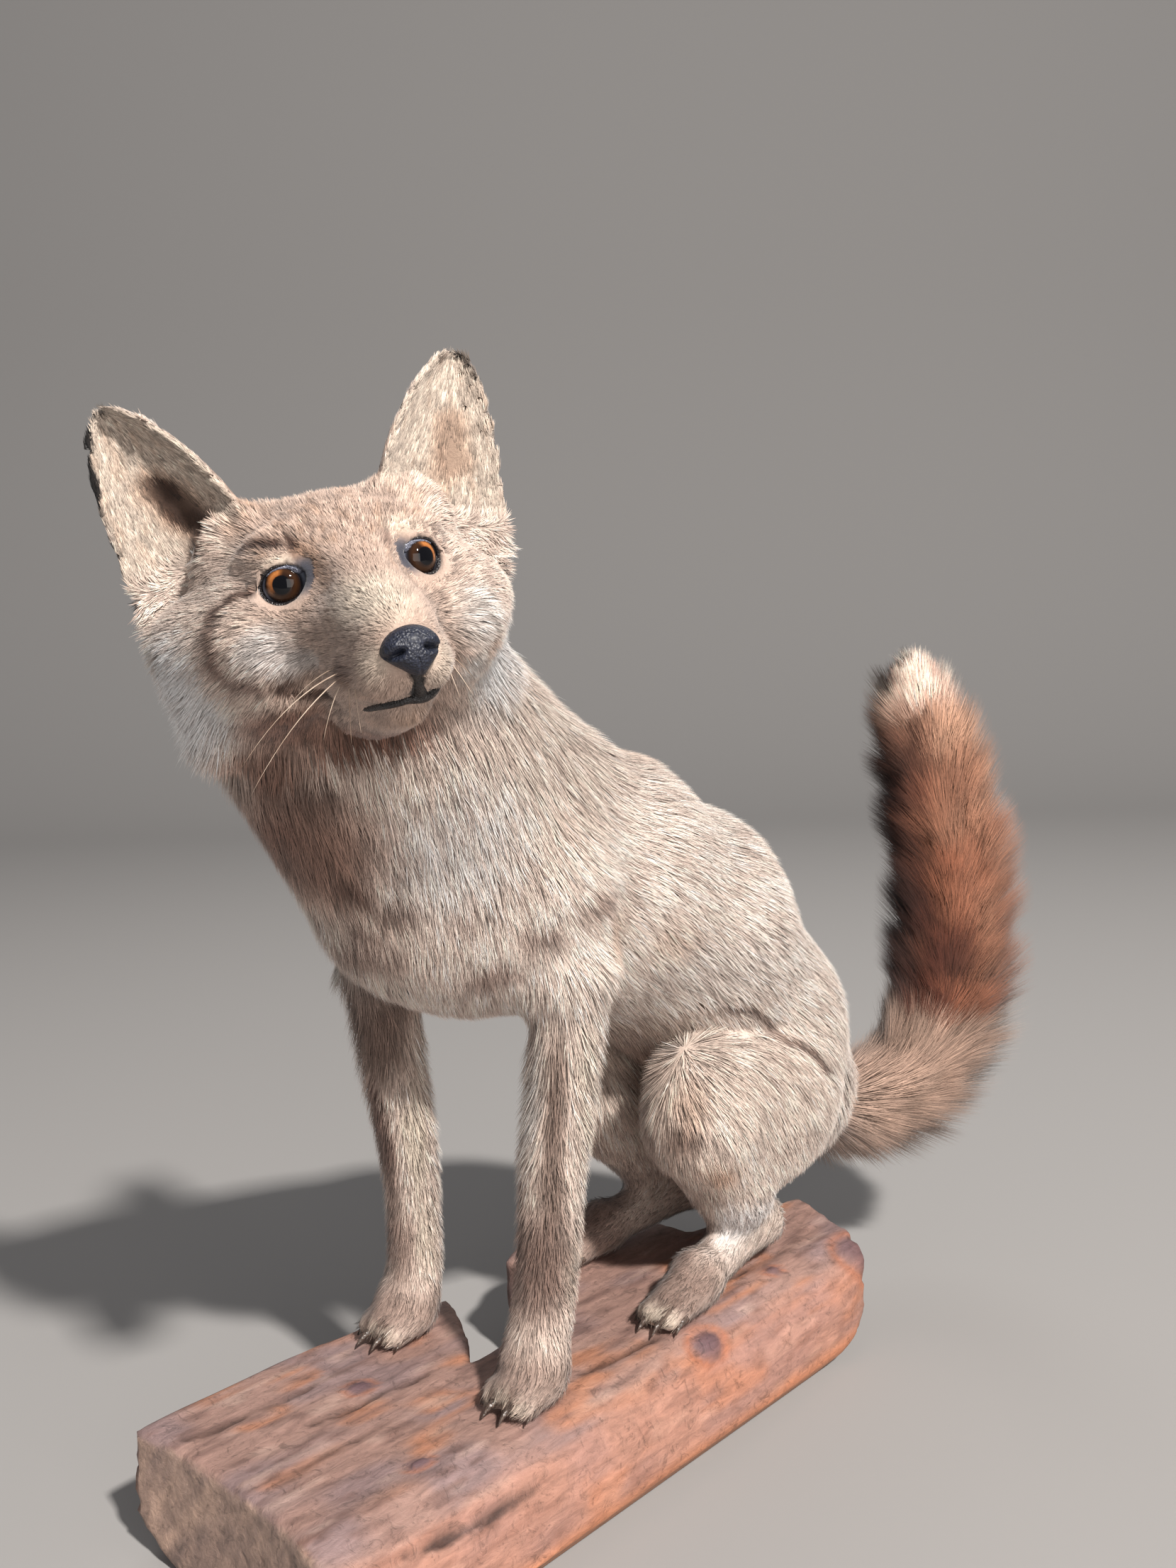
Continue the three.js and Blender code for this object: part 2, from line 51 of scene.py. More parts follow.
camera_data.lens = camera_data.sensor_height * FOCAL_LENGTH_BY_PICTURE_HEIGHT
camera = bpy.data.objects.new("camera", camera_data)
camera.location = (0.5159, -0.5965, 0.447)
camera.rotation_euler = np.radians((84.43, 1.72, 41.0))
bpy.context.scene.collection.objects.link(camera)
bpy.context.scene.camera = camera


def add_mesh(name, points, faces):
    """A mesh object at the origin, from an array of points in metres and a list of faces."""
    mesh = bpy.data.meshes.new(name)
    faces = faces.tolist() if isinstance(faces, np.ndarray) else faces
    mesh.from_pydata(points.tolist(), [], faces)
    mesh.validate()
    thing = bpy.data.objects.new(name, mesh)
    bpy.context.scene.collection.objects.link(thing)
    return thing


def plain_material(name, colour, roughness):
    """A material with a Principled shader; more nodes are added where it is used."""
    material = bpy.data.materials.new(name)
    material.use_nodes = True
    shader = material.node_tree.nodes["Principled BSDF"]
    shader.inputs["Base Color"].default_value = (*colour, 1.0)
    shader.inputs["Roughness"].default_value = roughness
    return material


# The floor lies square to the camera's plan direction, with its near edge behind the camera.
FLOOR_AHEAD = np.array([-0.656, 0.755])
FLOOR_ACROSS = np.array([0.755, 0.656])
FLOOR_START = -1.4 * FLOOR_AHEAD
FLOOR_HALF_WIDTH, FLOOR_FLAT, FLOOR_BEND, FLOOR_WALL = 5.0, 4.2, 1.6, 3.0


def floor_surface(columns=9, rows=65):
    """A flat sheet that turns up in a quarter of an arc and ends as a wall.

    On the arc, out = r sin(a) and up = r (1 - cos(a)), where a = s / r.
    """
    across = np.linspace(-FLOOR_HALF_WIDTH, FLOOR_HALF_WIDTH, columns)
    arc = FLOOR_BEND * np.pi / 2
    run = np.linspace(0, FLOOR_FLAT + arc + FLOOR_WALL, rows)
    turn = np.clip((run - FLOOR_FLAT) / FLOOR_BEND, 0, np.pi / 2)
    out = np.minimum(run, FLOOR_FLAT) + FLOOR_BEND * np.sin(turn)
    up = FLOOR_BEND * (1 - np.cos(turn)) + np.maximum(run - FLOOR_FLAT - arc, 0)
    u, v = np.meshgrid(across, np.arange(rows), indexing="ij")
    plan = FLOOR_START + out[v][..., None] * FLOOR_AHEAD + u[..., None] * FLOOR_ACROSS
    points = np.concatenate([plan, up[v][..., None]], axis=-1).reshape(-1, 3)
    i, j = np.meshgrid(np.arange(columns - 1), np.arange(rows - 1), indexing="ij")
    first = (i * rows + j).ravel()
    return points, np.stack([first, first + rows, first + rows + 1, first + 1], axis=1)


def shaded_smooth(thing):
    """Shades all the faces of a piece as one curved surface."""
    thing.data.polygons.foreach_set("use_smooth", np.ones(len(thing.data.polygons), bool))


floor = add_mesh("studio_floor", *floor_surface())
floor.data.materials.append(plain_material("studio_paper", (0.30, 0.29, 0.285), 0.95))
shaded_smooth(floor)


ANIMAL_MIDDLE = (-0.02, 0.05, 0.3)


def add_lamp(name, place, size, power, colour):
    """A square area lamp that faces the middle of the animal."""
    data = bpy.data.lights.new(name, "AREA")
    data.size = size
    data.energy = power
    data.color = colour
    lamp = bpy.data.objects.new(name, data)
    aim = np.subtract(ANIMAL_MIDDLE, place)
    aim = aim / np.linalg.norm(aim)
    lamp.location = place
    lamp.rotation_euler = (np.arccos(-aim[2]), 0, np.arctan2(aim[1], aim[0]) - np.pi / 2)
    bpy.context.scene.collection.objects.link(lamp)


add_lamp("key_lamp", (3.64, -1.28, 3.90), 0.3, 520, (1.0, 0.96, 0.91))
add_lamp("fill_lamp", (2.0, -1.1, 0.55), 1.6, 22, (1.0, 0.95, 0.91))
add_lamp("rim_lamp", (-0.9, 1.3, 1.8), 1.0, 7, (1.0, 0.98, 0.95))
bpy.context.scene.view_settings.view_transform = "Standard"
world = bpy.data.worlds.new("studio_air")
world.use_nodes = True
air = world.node_tree.nodes["Background"]
air.inputs["Color"].default_value = (0.93, 0.95, 1.0, 1.0)
air.inputs["Strength"].default_value = 0.22
bpy.context.scene.world = world

# ---- The skin ------------------------------------------------------------------
# The tanned skin of head, ears, neck, trunk, legs and tail, in one piece, drawn over
# a carved form and fixed to the log by the feet. It lies inside the animal's outline by
# the depth of the coat. Its form is a field of distances, and a net is drawn over its zero.
FOX_PLACE = np.array([-37.0, -5.0, 65.0])  # a point on the log: the origin of the fox's millimetres


def unit(v):
    """A vector, or each row of an array, divided by its length."""
    v = np.asarray(v, float)
    return v / (np.linalg.norm(v, axis=-1, keepdims=True) + 1e-9)


def ramp(x, low, high):
    """0 below low, 1 above high, and 3t^2 - 2t^3 between them."""
    t = np.clip((x - low) / (high - low), 0, 1)
    return t * t * (3 - 2 * t)


def cone(p, start, end, r0, r1):
    """Distance to a ball rolled from start to end, with the radius r0 + t (r1 - r0)."""
    start = np.asarray(start, float)
    run = np.asarray(end, float) - start
    t = np.clip((p - start) @ run / (run @ run), 0, 1)
    return np.linalg.norm(p - start - t[:, None] * run, axis=1) - (r0 + t * (r1 - r0))


def ellipsoid(p, centre, radii):
    """About the distance: k (k - 1) / g, with k = |q / r| and g = |q / r^2|."""
    q = p - np.asarray(centre, float)
    radii = np.asarray(radii, float)
    k = np.linalg.norm(q / radii, axis=1)
    return k * (k - 1) / (np.linalg.norm(q / radii ** 2, axis=1) + 1e-9)


def join(a, b, k):
    """The lower of two fields, less h^2 k / 4, where h = 1 - |a - b| / k: a fillet."""
    h = np.maximum(k - np.abs(a - b), 0) / k
    return np.minimum(a, b) - h * h * k / 4


def carve(a, hollow, k):
    """The field a, with a hollow's form cut out of it and the edge rounded by k."""
    return -join(-a, hollow, k)


def stations(rows, steps=3):
    """A Catmull-Rom curve through rows of x, y, z and radius."""
    rows = np.asarray(rows, float)
    pad = np.concatenate([rows[:1], rows, rows[-1:]])
    t = (np.arange(steps) / steps)[:, None]
    pieces = []
    for a, b, c, d in zip(pad[:-3], pad[1:-2], pad[2:-1], pad[3:]):
        pieces.append(b + ((c - a) * t + (2 * a - 5 * b + 4 * c - d) * t ** 2
                           + (3 * b - a - 3 * c + d) * t ** 3) / 2)
    return np.concatenate(pieces + [rows[-1:]])


def tube(p, rows):
    """The nearest of the cones between one station and the next."""
    spans = zip(rows[:-1], rows[1:])
    return np.min([cone(p, a[:3], b[:3], a[3], b[3]) for a, b in spans], axis=0)


# The head's own coordinates: x to its left, y to its back, z up, from between the eyes.
HEAD_PLACE = np.array([80.0, -191.0, 411.0])
HEAD_TURN, HEAD_NOD, HEAD_TILT = np.radians([60.6, -2.6, 10.5])


def head_axes():
    """Rows: the head's left, back and up, after a turn, a nod and a tilt."""
    ahead = np.array([np.sin(HEAD_TURN), -np.cos(HEAD_TURN), 0])
    left = np.array([np.cos(HEAD_TURN), np.sin(HEAD_TURN), 0])
    nose = ahead * np.cos(HEAD_NOD) + np.array([0, 0, np.sin(HEAD_NOD)])
    crown = np.array([0, 0, np.cos(HEAD_NOD)]) - ahead * np.sin(HEAD_NOD)
    side = left * np.cos(HEAD_TILT) + crown * np.sin(HEAD_TILT)
    return np.array([side, -nose, crown * np.cos(HEAD_TILT) - left * np.sin(HEAD_TILT)])


HEAD = head_axes()


def to_head(p):
    """Places of the fox in the head's own coordinates."""
    return (p - HEAD_PLACE) @ HEAD.T


def from_head(q):
    """Places on the head in the fox's coordinates."""
    return np.asarray(q, float) @ HEAD + HEAD_PLACE


def mirrored(q):
    """Both halves of the head folded onto its left one."""
    return np.column_stack([np.abs(q[:, 0]), q[:, 1], q[:, 2]])


def head_form(q, m):
    """The outline of the head out to its hair."""
    d = ellipsoid(q, (0, 42, -9), (53, 56, 45))  # cranium
    d = join(d, ellipsoid(m, (32, 30, -26), (38, 42, 34)), 16)  # cheeks
    d = join(d, cone(m, (44, 50, -32), (60, 58, -54), 34, 22), 18)  # side whiskers
    d = join(d, ellipsoid(q, (-58, 56, -28), (26, 30, 30)), 16)  # fuller ruff on the right
    d = join(d, cone(q, (0, 4, -16), (0, -58, -30), 32, 17), 14)  # muzzle
    d = join(d, cone(q, (0, 12, 4), (0, -64, -21), 23, 8.5), 12)  # bridge of the nose
    d = join(d, cone(m, (12, -30, -37), (8, -60, -37), 14, 9), 8)  # upper lips
    d = join(d, cone(q, (0, 0, -46), (0, -50, -50), 24, 9.5), 10)  # lower jaw
    d = join(d, ellipsoid(m, (24, 12, 12), (18, 16, 11)), 10)  # brows
    return join(d, ellipsoid(m, (36, 50, 16), (25, 22, 22)), 14)  # roots of the ears


def head_depth(q, m):
    """Depth of the hair on the head: thin on the muzzle, deep on the ruff."""
    back = 1.5 + 2.4 * ramp(q[:, 1], -30, 40) + 4.5 * ramp(q[:, 1], 45, 95)
    return back + 6 * ramp(m[:, 0], 42, 62) * ramp(-q[:, 2], 14, 45)


# The middle of the left glass eye, its size and the way it looks, on the folded head.
EYE_PLACE = np.array([25.1, 4.4, 0.2])
EYE_RADIUS = 11.0
EYE_GAZE = unit([0.42, -0.9, 0.05])
SLIT_RISE = np.radians(11)  # the outer corner is the higher one


def eye_axes():
    """Rows for the left eye, in head coordinates: along the slit, up, and the gaze."""
    level = unit(np.cross(EYE_GAZE, (0, 0, -1.0)))
    above = np.cross(EYE_GAZE, -level)
    slit = level * np.cos(SLIT_RISE) + above * np.sin(SLIT_RISE)
    return np.array([slit, above * np.cos(SLIT_RISE) - level * np.sin(SLIT_RISE), EYE_GAZE])


EYE = eye_axes()
SLIT_OUT, SLIT_IN = 10.9, 11.0  # from the middle of the eye to each corner
LID_UP, LID_DOWN = 7.9, 7.4  # and to the middle of each lid


def lid_height(along):
    """Half height of the opening along the slit: (1 - |s|^2.2)^0.7, s = along / corner."""
    s = np.clip(np.where(along > 0, along / SLIT_OUT, -along / SLIT_IN), 0, 1)
    return (1 - s ** 2.2) ** 0.7


LID_THICKNESS = 1.9
GLASS_GAP = 0.25  # between the glass and its seat


def lids_and_socket(d, m):
    """Lids drawn over the glass eye, cut open in an almond, with a seat for the glass."""
    local = (m - EYE_PLACE) @ EYE.T
    along, up, out = local.T
    lid = np.linalg.norm(local, axis=1) - EYE_RADIUS - LID_THICKNESS
    d = join(d, lid, 4)
    half = lid_height(along) * np.where(up > 0, LID_UP, LID_DOWN)
    slit = np.maximum(np.abs(up) - half, np.maximum(along - SLIT_OUT, -along - SLIT_IN))
    slit = np.maximum(slit * 0.8, 2 - out)
    d = carve(d, slit, 1.2)
    return np.maximum(d, EYE_RADIUS + GLASS_GAP - np.linalg.norm(local, axis=1))


def line_distance(p, places):
    """Distance to a line through rows of places."""
    return tube(p, np.column_stack([np.array(places, float), np.zeros(len(places))]))


# The mouth: a line from below the nose back along each lip.
MOUTH = [(0, -66, -47), (6, -65, -47.5), (11, -58, -49), (15, -45, -50.5), (21, -34, -47),
         (28, -18, -43), (34, 0, -41)]
MOUTH_GROOVE = 1.2  # radius of the groove between the lips


def mouth_distance(m):
    """Distance to the line between the lips, on the folded head."""
    return line_distance(m, MOUTH)


# An ear is a cupped leaf: arcs whose ends come forward, stacked from foot to tip.
EAR_BASE = np.array([51.0, 56.0, 15.0])
EAR_TIP = np.array([76.0, 66.0, 83.5])
EAR_HALF_WIDTH, EAR_WALL, EAR_CUP, EAR_BOW, EAR_ROUND = 32.0, 7.0, 18.0, 4.0, 1.2
EAR_HAIR = 0.4
EAR_LOOK = {1: (0.24, -1, 0.07), -1: (0.57, -1, 0.09)}  # the left ear and the right one
EAR_UP = unit(EAR_TIP - EAR_BASE)
EAR_LENGTH = np.linalg.norm(EAR_TIP - EAR_BASE)


def ear_axes(side):
    """Rows for one ear, on the folded head: out, towards its hollow face, up."""
    look = np.array(EAR_LOOK[side], float)
    face = unit(look - EAR_UP * (look @ EAR_UP))
    return np.array([np.cross(face, EAR_UP), face, EAR_UP])


def ear_leaf(q, side):
    """Height t, place across from -1 to 1, distance in front of the leaf, and its half width.

    The half width is w (1 - t^1.85)^0.5 (1 - 0.15 t), and the leaf's middle is a parabola.
    """
    out, front, up = ((q * (side, 1, 1) - EAR_BASE) @ ear_axes(side).T).T
    t = up / EAR_LENGTH
    rise = np.clip(t, 0, 0.999)
    half = EAR_HALF_WIDTH * np.sqrt(1 - rise ** 1.85) * (1 - 0.15 * rise)
    across = (out - EAR_BOW * rise * (1 - rise)) / half
    bowl = EAR_CUP * (1 - 0.55 * rise)
    lift = front - bowl * across ** 2 + 8 * (1 - rise)
    slope = 2 * bowl * across / half
    return t, across, lift / np.sqrt(1 + slope ** 2), half


def ear_form(q, side, coat):
    """The leaf as a wall with rounded edges, thinner by the hair on it."""
    t, across, lift, half = ear_leaf(q, side)
    thinner = (1 - 0.2 * np.abs(np.clip(across, -1, 1))) * (1 - 0.2 * np.clip(t, 0, 1))
    face = np.abs(lift) - (EAR_WALL * 0.5 * thinner - coat)
    edge = np.maximum((np.abs(across) - 1) * half * 0.8 + coat, (t - 1) * EAR_LENGTH * 0.9 + coat)
    edge = np.maximum(edge, (-0.3 - t) * EAR_LENGTH)
    inner = np.minimum(np.maximum(face, edge) + EAR_ROUND, 0)
    outer = np.hypot(np.maximum(face + EAR_ROUND, 0), np.maximum(edge + EAR_ROUND, 0))
    return outer + inner - EAR_ROUND


# The hollow of each ear, as places out to the crown, in front, up, and a radius.
EAR_HOLLOWS = {1: ((-1, 7, 10, 6.5), (-6, 5.5, 25, 7), (-4, 5.5, 41, 4.5)),
               -1: ((7, 7, 6, 8), (4, 6, 18, 9), (-1, 5.5, 33, 7))}


def ear_hollow(q, side):
    """The dark opening at the foot of the ear: a tapering hole in front of the leaf."""
    rows = np.array(EAR_HOLLOWS[side], float)
    places = rows[:, :3] @ ear_axes(side) + EAR_BASE
    return tube(q * (side, 1, 1), np.column_stack([places, rows[:, 3]]))


NOSE_MIDDLE = np.array([1.0, -72.0, -29.0])
NOSE_SIZE = np.array([11.2, 9.2, 10.0])
# Creases over the right eye and behind it, pressed in as the skin dried.
BROW_FOLDS = [[(-39, 10, 15.5), (-34, 4, 16.5), (-27, -1, 16.5)],
              [(-22, -3, 16), (-20, -8, 11), (-16, -20, 3.5)],
              [(-40, 3, 1.5), (-46, 4, 1), (-53, 9, -4)]]
FOLD_DEPTH, FOLD_WIDTH = 1.5, 1.7
# Hollows of the face, as middle, radii and depth.
FACE_HOLLOWS = [
    ((16, -23, -4), (8, 17, 12), 5.0),  # beside the bridge of the nose
    ((-17, -23, -3), (7, 14, 11), 3.6),
    ((-22, -37, -25), (7, 11, 9), 2.2),  # behind the whisker pads
    ((24, -36, -24), (8, 12, 10), 2.0),
    ((-33, -9, -38), (16, 14, 5), 2.6),  # under the right cheek and behind it
    ((-57, 2, -28), (8, 12, 9), 2.6),
]


def neck_form(p):
    """The outline of the neck out to its hair, from the chest up to the head."""
    d = cone(p, (-3, -60, 290), (22, -146, 362), 70, 58)
    d = join(d, cone(p, (-14, -90, 262), (-4, -150, 338), 50, 46), 24)  # throat
    return join(d, cone(p, (0, -5, 304), (30, -128, 371), 44, 45), 20)  # nape


def trunk_form(p):
    """The outline of the sloping trunk out to its hair, from the chest to the rump."""
    d = cone(p / (0.95, 1, 1), (-6, -50, 258), (-2, 40, 243), 72, 72)  # chest
    d = join(d, cone(p, (-2, 40, 241), (0, 108, 209), 72, 73), 20)  # loin
    d = join(d, cone(p, (0, 108, 209), (0, 175, 138), 73, 69), 20)  # belly
    d = join(d, cone(p, (0, 175, 132), (0, 210, 90), 67, 60), 20)  # rump
    d = join(d, cone(p, (-5, -14, 290), (-3, 60, 268), 42, 48), 20)  # withers
    d = join(d, cone(p, (38, -40, 256), (42, -38, 222), 36, 30), 16)  # left upper arm
    return join(d, cone(p, (-52, -62, 248), (-56, -64, 215), 36, 28), 16)  # right upper arm


FORELEG = {1: [(46, -36, 215, 30), (48, -38, 190, 25), (48, -42, 160, 22), (48, -50, 118, 20),
               (48, -56, 72, 18), (48, -62, 42, 17.5), (48, -68, 24, 18)],
           -1: [(-58, -64, 205, 29), (-60, -62, 178, 24), (-60, -58, 147, 21), (-60, -51, 105, 19),
                (-60, -49, 65, 17), (-60, -50, 34, 17), (-60, -56, 22, 17)]}
HIND_SHIFT = {1: 0, -1: 26}  # the right hind leg stands further back
TAIL = stations([(0, 225, 75, 36), (6, 268, 58, 42), (34, 316, 64, 48), (58, 341, 108, 51),
                 (64, 345, 165, 49), (64, 345, 215, 47), (58, 342, 260, 45), (50, 339, 298, 40),
                 (44, 337, 326, 31), (42, 336, 342, 21)])
TAIL_CORE = 0.47  # the tail under its hair, as a share of its radius


def foreleg_form(p, side):
    """A foreleg with its paw and two pairs of toes, as wide as its hair."""
    rows = stations(FORELEG[side])
    x, y = rows[-1, :2]
    d = join(tube(p, rows), cone(p, (x, y, 16), (x, y - 14, 11), 17, 13), 10)
    for turn in (-1, 1):
        d = join(d, cone(p, (x + 8 * turn, y - 2, 11), (x + 10 * turn, y - 19, 8), 11, 8.5), 6)
    return d


def hindleg_form(p, side):
    """A folded hind leg: ham, thigh, shank, hock, long foot and three toes."""
    ham = p * (side, 1, 1)
    p = ham - (0, HIND_SHIFT[side], 0)
    d = ellipsoid(ham, (44, 141, 106), (35, 74, 62))
    d = join(d, ellipsoid(p, (46, 86, 122), (30, 47, 40)), 14)
    d = join(d, cone(p, (46, 74, 104), (44, 110, 52), 32, 22), 14)
    d = join(d, cone(p, (44, 104, 60), (36, 148, 24), 22, 13), 10)
    d = join(d, cone(p, (35, 146, 20), (46, 70, 16), 13, 15), 18)
    d = join(d, cone(p, (47, 68, 15), (49, 44, 12), 17, 13), 8)
    for toe in (-1, 0, 1):
        d = join(d, cone(p, (48 + 7 * toe, 60, 11), (49 + 8 * toe, 31, 7.5), 10, 8), 5)
    return d


def within(p, low, high, form):
    """A field that is worked out only in a box, with 40 mm to spare, to save time."""
    near = np.all((p > np.subtract(low, 40)) & (p < np.add(high, 40)), axis=1)
    d = np.full(len(p), 40.0)
    if near.any():
        d[near] = form(p[near])
    return d


def leg_depth(p):
    """Depth of the hair on a leg, which thins towards the paw."""
    return 2.0 + 1.8 * ramp(p[:, 2], 25, 90) + 4 * ramp(p[:, 2], 110, 205)


def head_skin(p):
    """The skin of the head: its outline less the hair, creased, with mouth, ears and lids."""
    q = to_head(p)
    m = mirrored(q)
    d = head_form(q, m) + head_depth(q, m)
    for fold in BROW_FOLDS:
        d = d + FOLD_DEPTH * np.exp(-(line_distance(q, fold) / FOLD_WIDTH) ** 2)
    for middle, radii, depth in FACE_HOLLOWS:
        d = d + depth * np.exp(-np.sum(((q - middle) / radii) ** 2, axis=1))
    d = carve(d, mouth_distance(m) - MOUTH_GROOVE, 2.0)
    for side in (1, -1):
        d = join(d, ear_form(q, side, EAR_HAIR), 7)
        d = carve(d, ear_hollow(q, side), 3)
    return lids_and_socket(d, m)


NECK_HAIR, TRUNK_HAIR = 6.5, 5.0


def part_fields(p):
    """The skin's field for each part of the body, as the rows of one array."""
    return np.array([
        within(p, (-10, -290, 320), (190, -80, 520), head_skin),
        within(p, (-75, -210, 200), (80, 40, 420), lambda p: neck_form(p) + NECK_HAIR),
        within(p, (-90, -140, 30), (85, 275, 340), lambda p: trunk_form(p) + TRUNK_HAIR),
        within(p, (15, -105, 0), (80, 0, 250), lambda p: foreleg_form(p, 1) + leg_depth(p)),
        within(p, (-92, -95, 0), (-25, -30, 240), lambda p: foreleg_form(p, -1) + leg_depth(p)),
        within(p, (0, 15, 0), (82, 220, 175), lambda p: hindleg_form(p, 1) + leg_depth(p)),
        within(p, (-82, 40, 0), (0, 220, 175), lambda p: hindleg_form(p, -1) + leg_depth(p)),
        within(p, (-40, 185, 10), (118, 400, 370), lambda p: tube(p, TAIL * (1, 1, 1, TAIL_CORE))),
    ])


HEAD_PART, NECK_PART, TRUNK_PART, FORE_LEFT, FORE_RIGHT, HIND_LEFT, HIND_RIGHT, TAIL_PART = range(8)
FORELEGS, HINDLEGS = [FORE_LEFT, FORE_RIGHT], [HIND_LEFT, HIND_RIGHT]
FILLETS = {FORE_LEFT: 10, FORE_RIGHT: 10, HIND_LEFT: 6, HIND_RIGHT: 6, TAIL_PART: 14}
SOLES = 1.2  # height at which the paws are cut level


def skin_field(p):
    """All the parts, joined with a fillet at each joint, and cut level under the paws."""
    parts = part_fields(p)
    d = join(join(parts[TRUNK_PART], parts[NECK_PART], 26), parts[HEAD_PART], 14)
    for part, fillet in FILLETS.items():
        d = join(d, parts[part], fillet)
    return np.maximum(d, SOLES - p[:, 2])


def nodes_of(mask):
    """The corner nodes of every cell that a mask marks."""
    nodes = np.zeros(np.add(mask.shape, 1), bool)
    for i, j, k in np.ndindex(2, 2, 2):
        nodes[i:i + mask.shape[0], j:j + mask.shape[1], k:k + mask.shape[2]] |= mask
    return nodes


def net_over(field, low, high, cell, bend=lambda p: p, block=8):
    """A closed net of four-sided faces over the surface where a field is zero.

    The field is first read in the middle of blocks, and then at every node of the
    blocks that the surface may cross. Each crossed cell gets a point at the mean of
    its edges' crossings, which is moved onto the surface as p - d g / |g|^2.
    """
    low = np.asarray(low, float)
    blocks = np.ceil((np.asarray(high) - low) / (cell * block)).astype(int)
    middle = (np.indices(blocks).reshape(3, -1).T + 0.5) * cell * block + low
    rough = field(bend(middle)).reshape(blocks)
    live = np.abs(rough) < cell * block
    widen = [np.repeat(np.repeat(np.repeat(a, block, 0), block, 1), block, 2) for a in (rough, live)]
    value = np.pad(np.where(widen[0] < 0, -9.0, 9.0), ((0, 1),) * 3, constant_values=9.0)
    at = np.argwhere(nodes_of(widen[1]))
    value[tuple(at.T)] = field(bend(at * cell + low))
    inside = value < 0
    count = np.array(value.shape) - 1
    corners = list(np.ndindex(2, 2, 2))

    def shifted(array, corner):
        """The values at one corner of every cell."""
        i, j, k = corner
        return array[i:i + count[0], j:j + count[1], k:k + count[2]]

    total = sum(shifted(inside, corner).astype(np.int8) for corner in corners)
    mixed = (total > 0) & (total < 8)
    number = np.full(mixed.shape, -1)
    number[mixed] = np.arange(mixed.sum())
    at = np.argwhere(mixed)
    reads = {corner: shifted(value, corner)[mixed] for corner in corners}
    mean, hits = np.zeros((len(at), 3)), np.zeros(len(at))
    for axis in range(3):
        for corner in corners:
            if corner[axis]:
                continue
            other = tuple(1 if n == axis else c for n, c in enumerate(corner))
            a, b = reads[corner], reads[other]
            crossed = (a < 0) != (b < 0)
            place = np.tile(np.array(corner, float), (len(at), 1))
            place[:, axis] = a / np.where(crossed, a - b, 1)
            mean += np.where(crossed[:, None], place, 0)
            hits += crossed
    points = settled(field, bend((at + mean / hits[:, None]) * cell + low), cell / 2)
    faces = []
    for axis in range(3):
        u, v = (axis + 1) % 3, (axis + 2) % 3
        first = np.moveaxis(inside, axis, 0)
        crossed = np.argwhere(np.moveaxis(first[:-1] != first[1:], 0, axis))
        crossed = crossed[(crossed[:, u] > 0) & (crossed[:, v] > 0)]
        crossed = crossed[(crossed[:, u] < count[u]) & (crossed[:, v] < count[v])]
        ring = []
        for a, b in ((1, 1), (0, 1), (0, 0), (1, 0)):
            cell_at = crossed.copy()
            cell_at[:, u] -= a
            cell_at[:, v] -= b
            ring.append(number[tuple(cell_at.T)])
        ring = np.stack(ring, axis=1)
        leaves = inside[tuple(crossed.T)]
        faces.append(np.where(leaves[:, None], ring, ring[:, ::-1]))
    return points, np.concatenate(faces)


def slope_of(field, p, step=0.35):
    """The field and its slope, from the difference over a step along each axis."""
    d = field(p)
    return d, np.stack([(field(p + np.eye(3)[axis] * step) - d) / step for axis in range(3)], axis=1)


def settled(field, p, most):
    """Points moved onto the surface along its slope, each by no more than a given way."""
    start = p.copy()
    for _ in range(3):
        d, g = slope_of(field, p)
        p = p - g * (d / (np.sum(g * g, axis=1) + 0.05))[:, None]
        p = start + np.clip(p - start, -most, most)
    return p


FACE_MIDDLE = from_head((0, 5, 0))
FACE_REACH = 125.0


def drawn_to_face(p):
    """The net drawn together round the face: r - 0.55 R tanh(r / R) from its middle.

    The lids, the lips and the rims of the ears then have cells of about 2 mm.
    """
    away = p - FACE_MIDDLE
    r = np.linalg.norm(away, axis=1, keepdims=True) + 1e-6
    return FACE_MIDDLE + away * (1 - 0.55 * FACE_REACH * np.tanh(r / FACE_REACH) / r)


SKIN_CELL = 4.0
NET_LOW, NET_HIGH = (-215, -365, -95), (230, 500, 610)
skin_points, skin_faces = net_over(skin_field, NET_LOW, NET_HIGH, SKIN_CELL, drawn_to_face)


def normals_of(points, faces):
    """Unit normals of the points: the sum of the cross products of their faces' diagonals."""
    a, b, c, d = (points[faces[:, n]] for n in range(4))
    across = np.cross(c - a, d - b)
    total = np.zeros_like(points)
    for n in range(4):
        np.add.at(total, faces[:, n], across)
    return unit(total)


skin_normals = normals_of(skin_points, skin_faces)
skin_parts = part_fields(skin_points)
# How much of each part a point of the skin belongs to: exp(-d / 6 mm), summed to 1.
part_weight = np.exp(-np.clip(skin_parts - skin_parts.min(axis=0), 0, 60) / 6.0)
part_weight /= part_weight.sum(axis=0)

# The colours of the faded hair, in sRGB, some of them darkened as painted shade.
BEIGE = (0.87, 0.785, 0.73)
PALE = (0.905, 0.825, 0.775)
LEG = (0.905, 0.82, 0.765)
SILVER = (0.83, 0.795, 0.77)
CHEEK = (0.79, 0.755, 0.735)
CREAM = (0.83, 0.77, 0.70)
EAR_CREAM = (0.78, 0.715, 0.655)
FOREHEAD = (0.74, 0.64, 0.58)
TAWNY = (0.68, 0.55, 0.465)
GREY_BROWN = (0.43, 0.34, 0.305)
DARK_BROWN = (0.25, 0.175, 0.145)
BLACK = (0.085, 0.07, 0.068)
# brown of the throat, made darker as painted shade under the head
THROAT_AND_SHADE = (0.46, 0.325, 0.27)
WHITE = (0.96, 0.935, 0.925)
CHEST_WHITE = (0.95, 0.89, 0.855)
# brown of an ear's hollow, darkened as painted shade
EAR_HOLLOW_BROWN_AND_SHADE = (0.24, 0.17, 0.135)
RUST = (0.47, 0.295, 0.22)
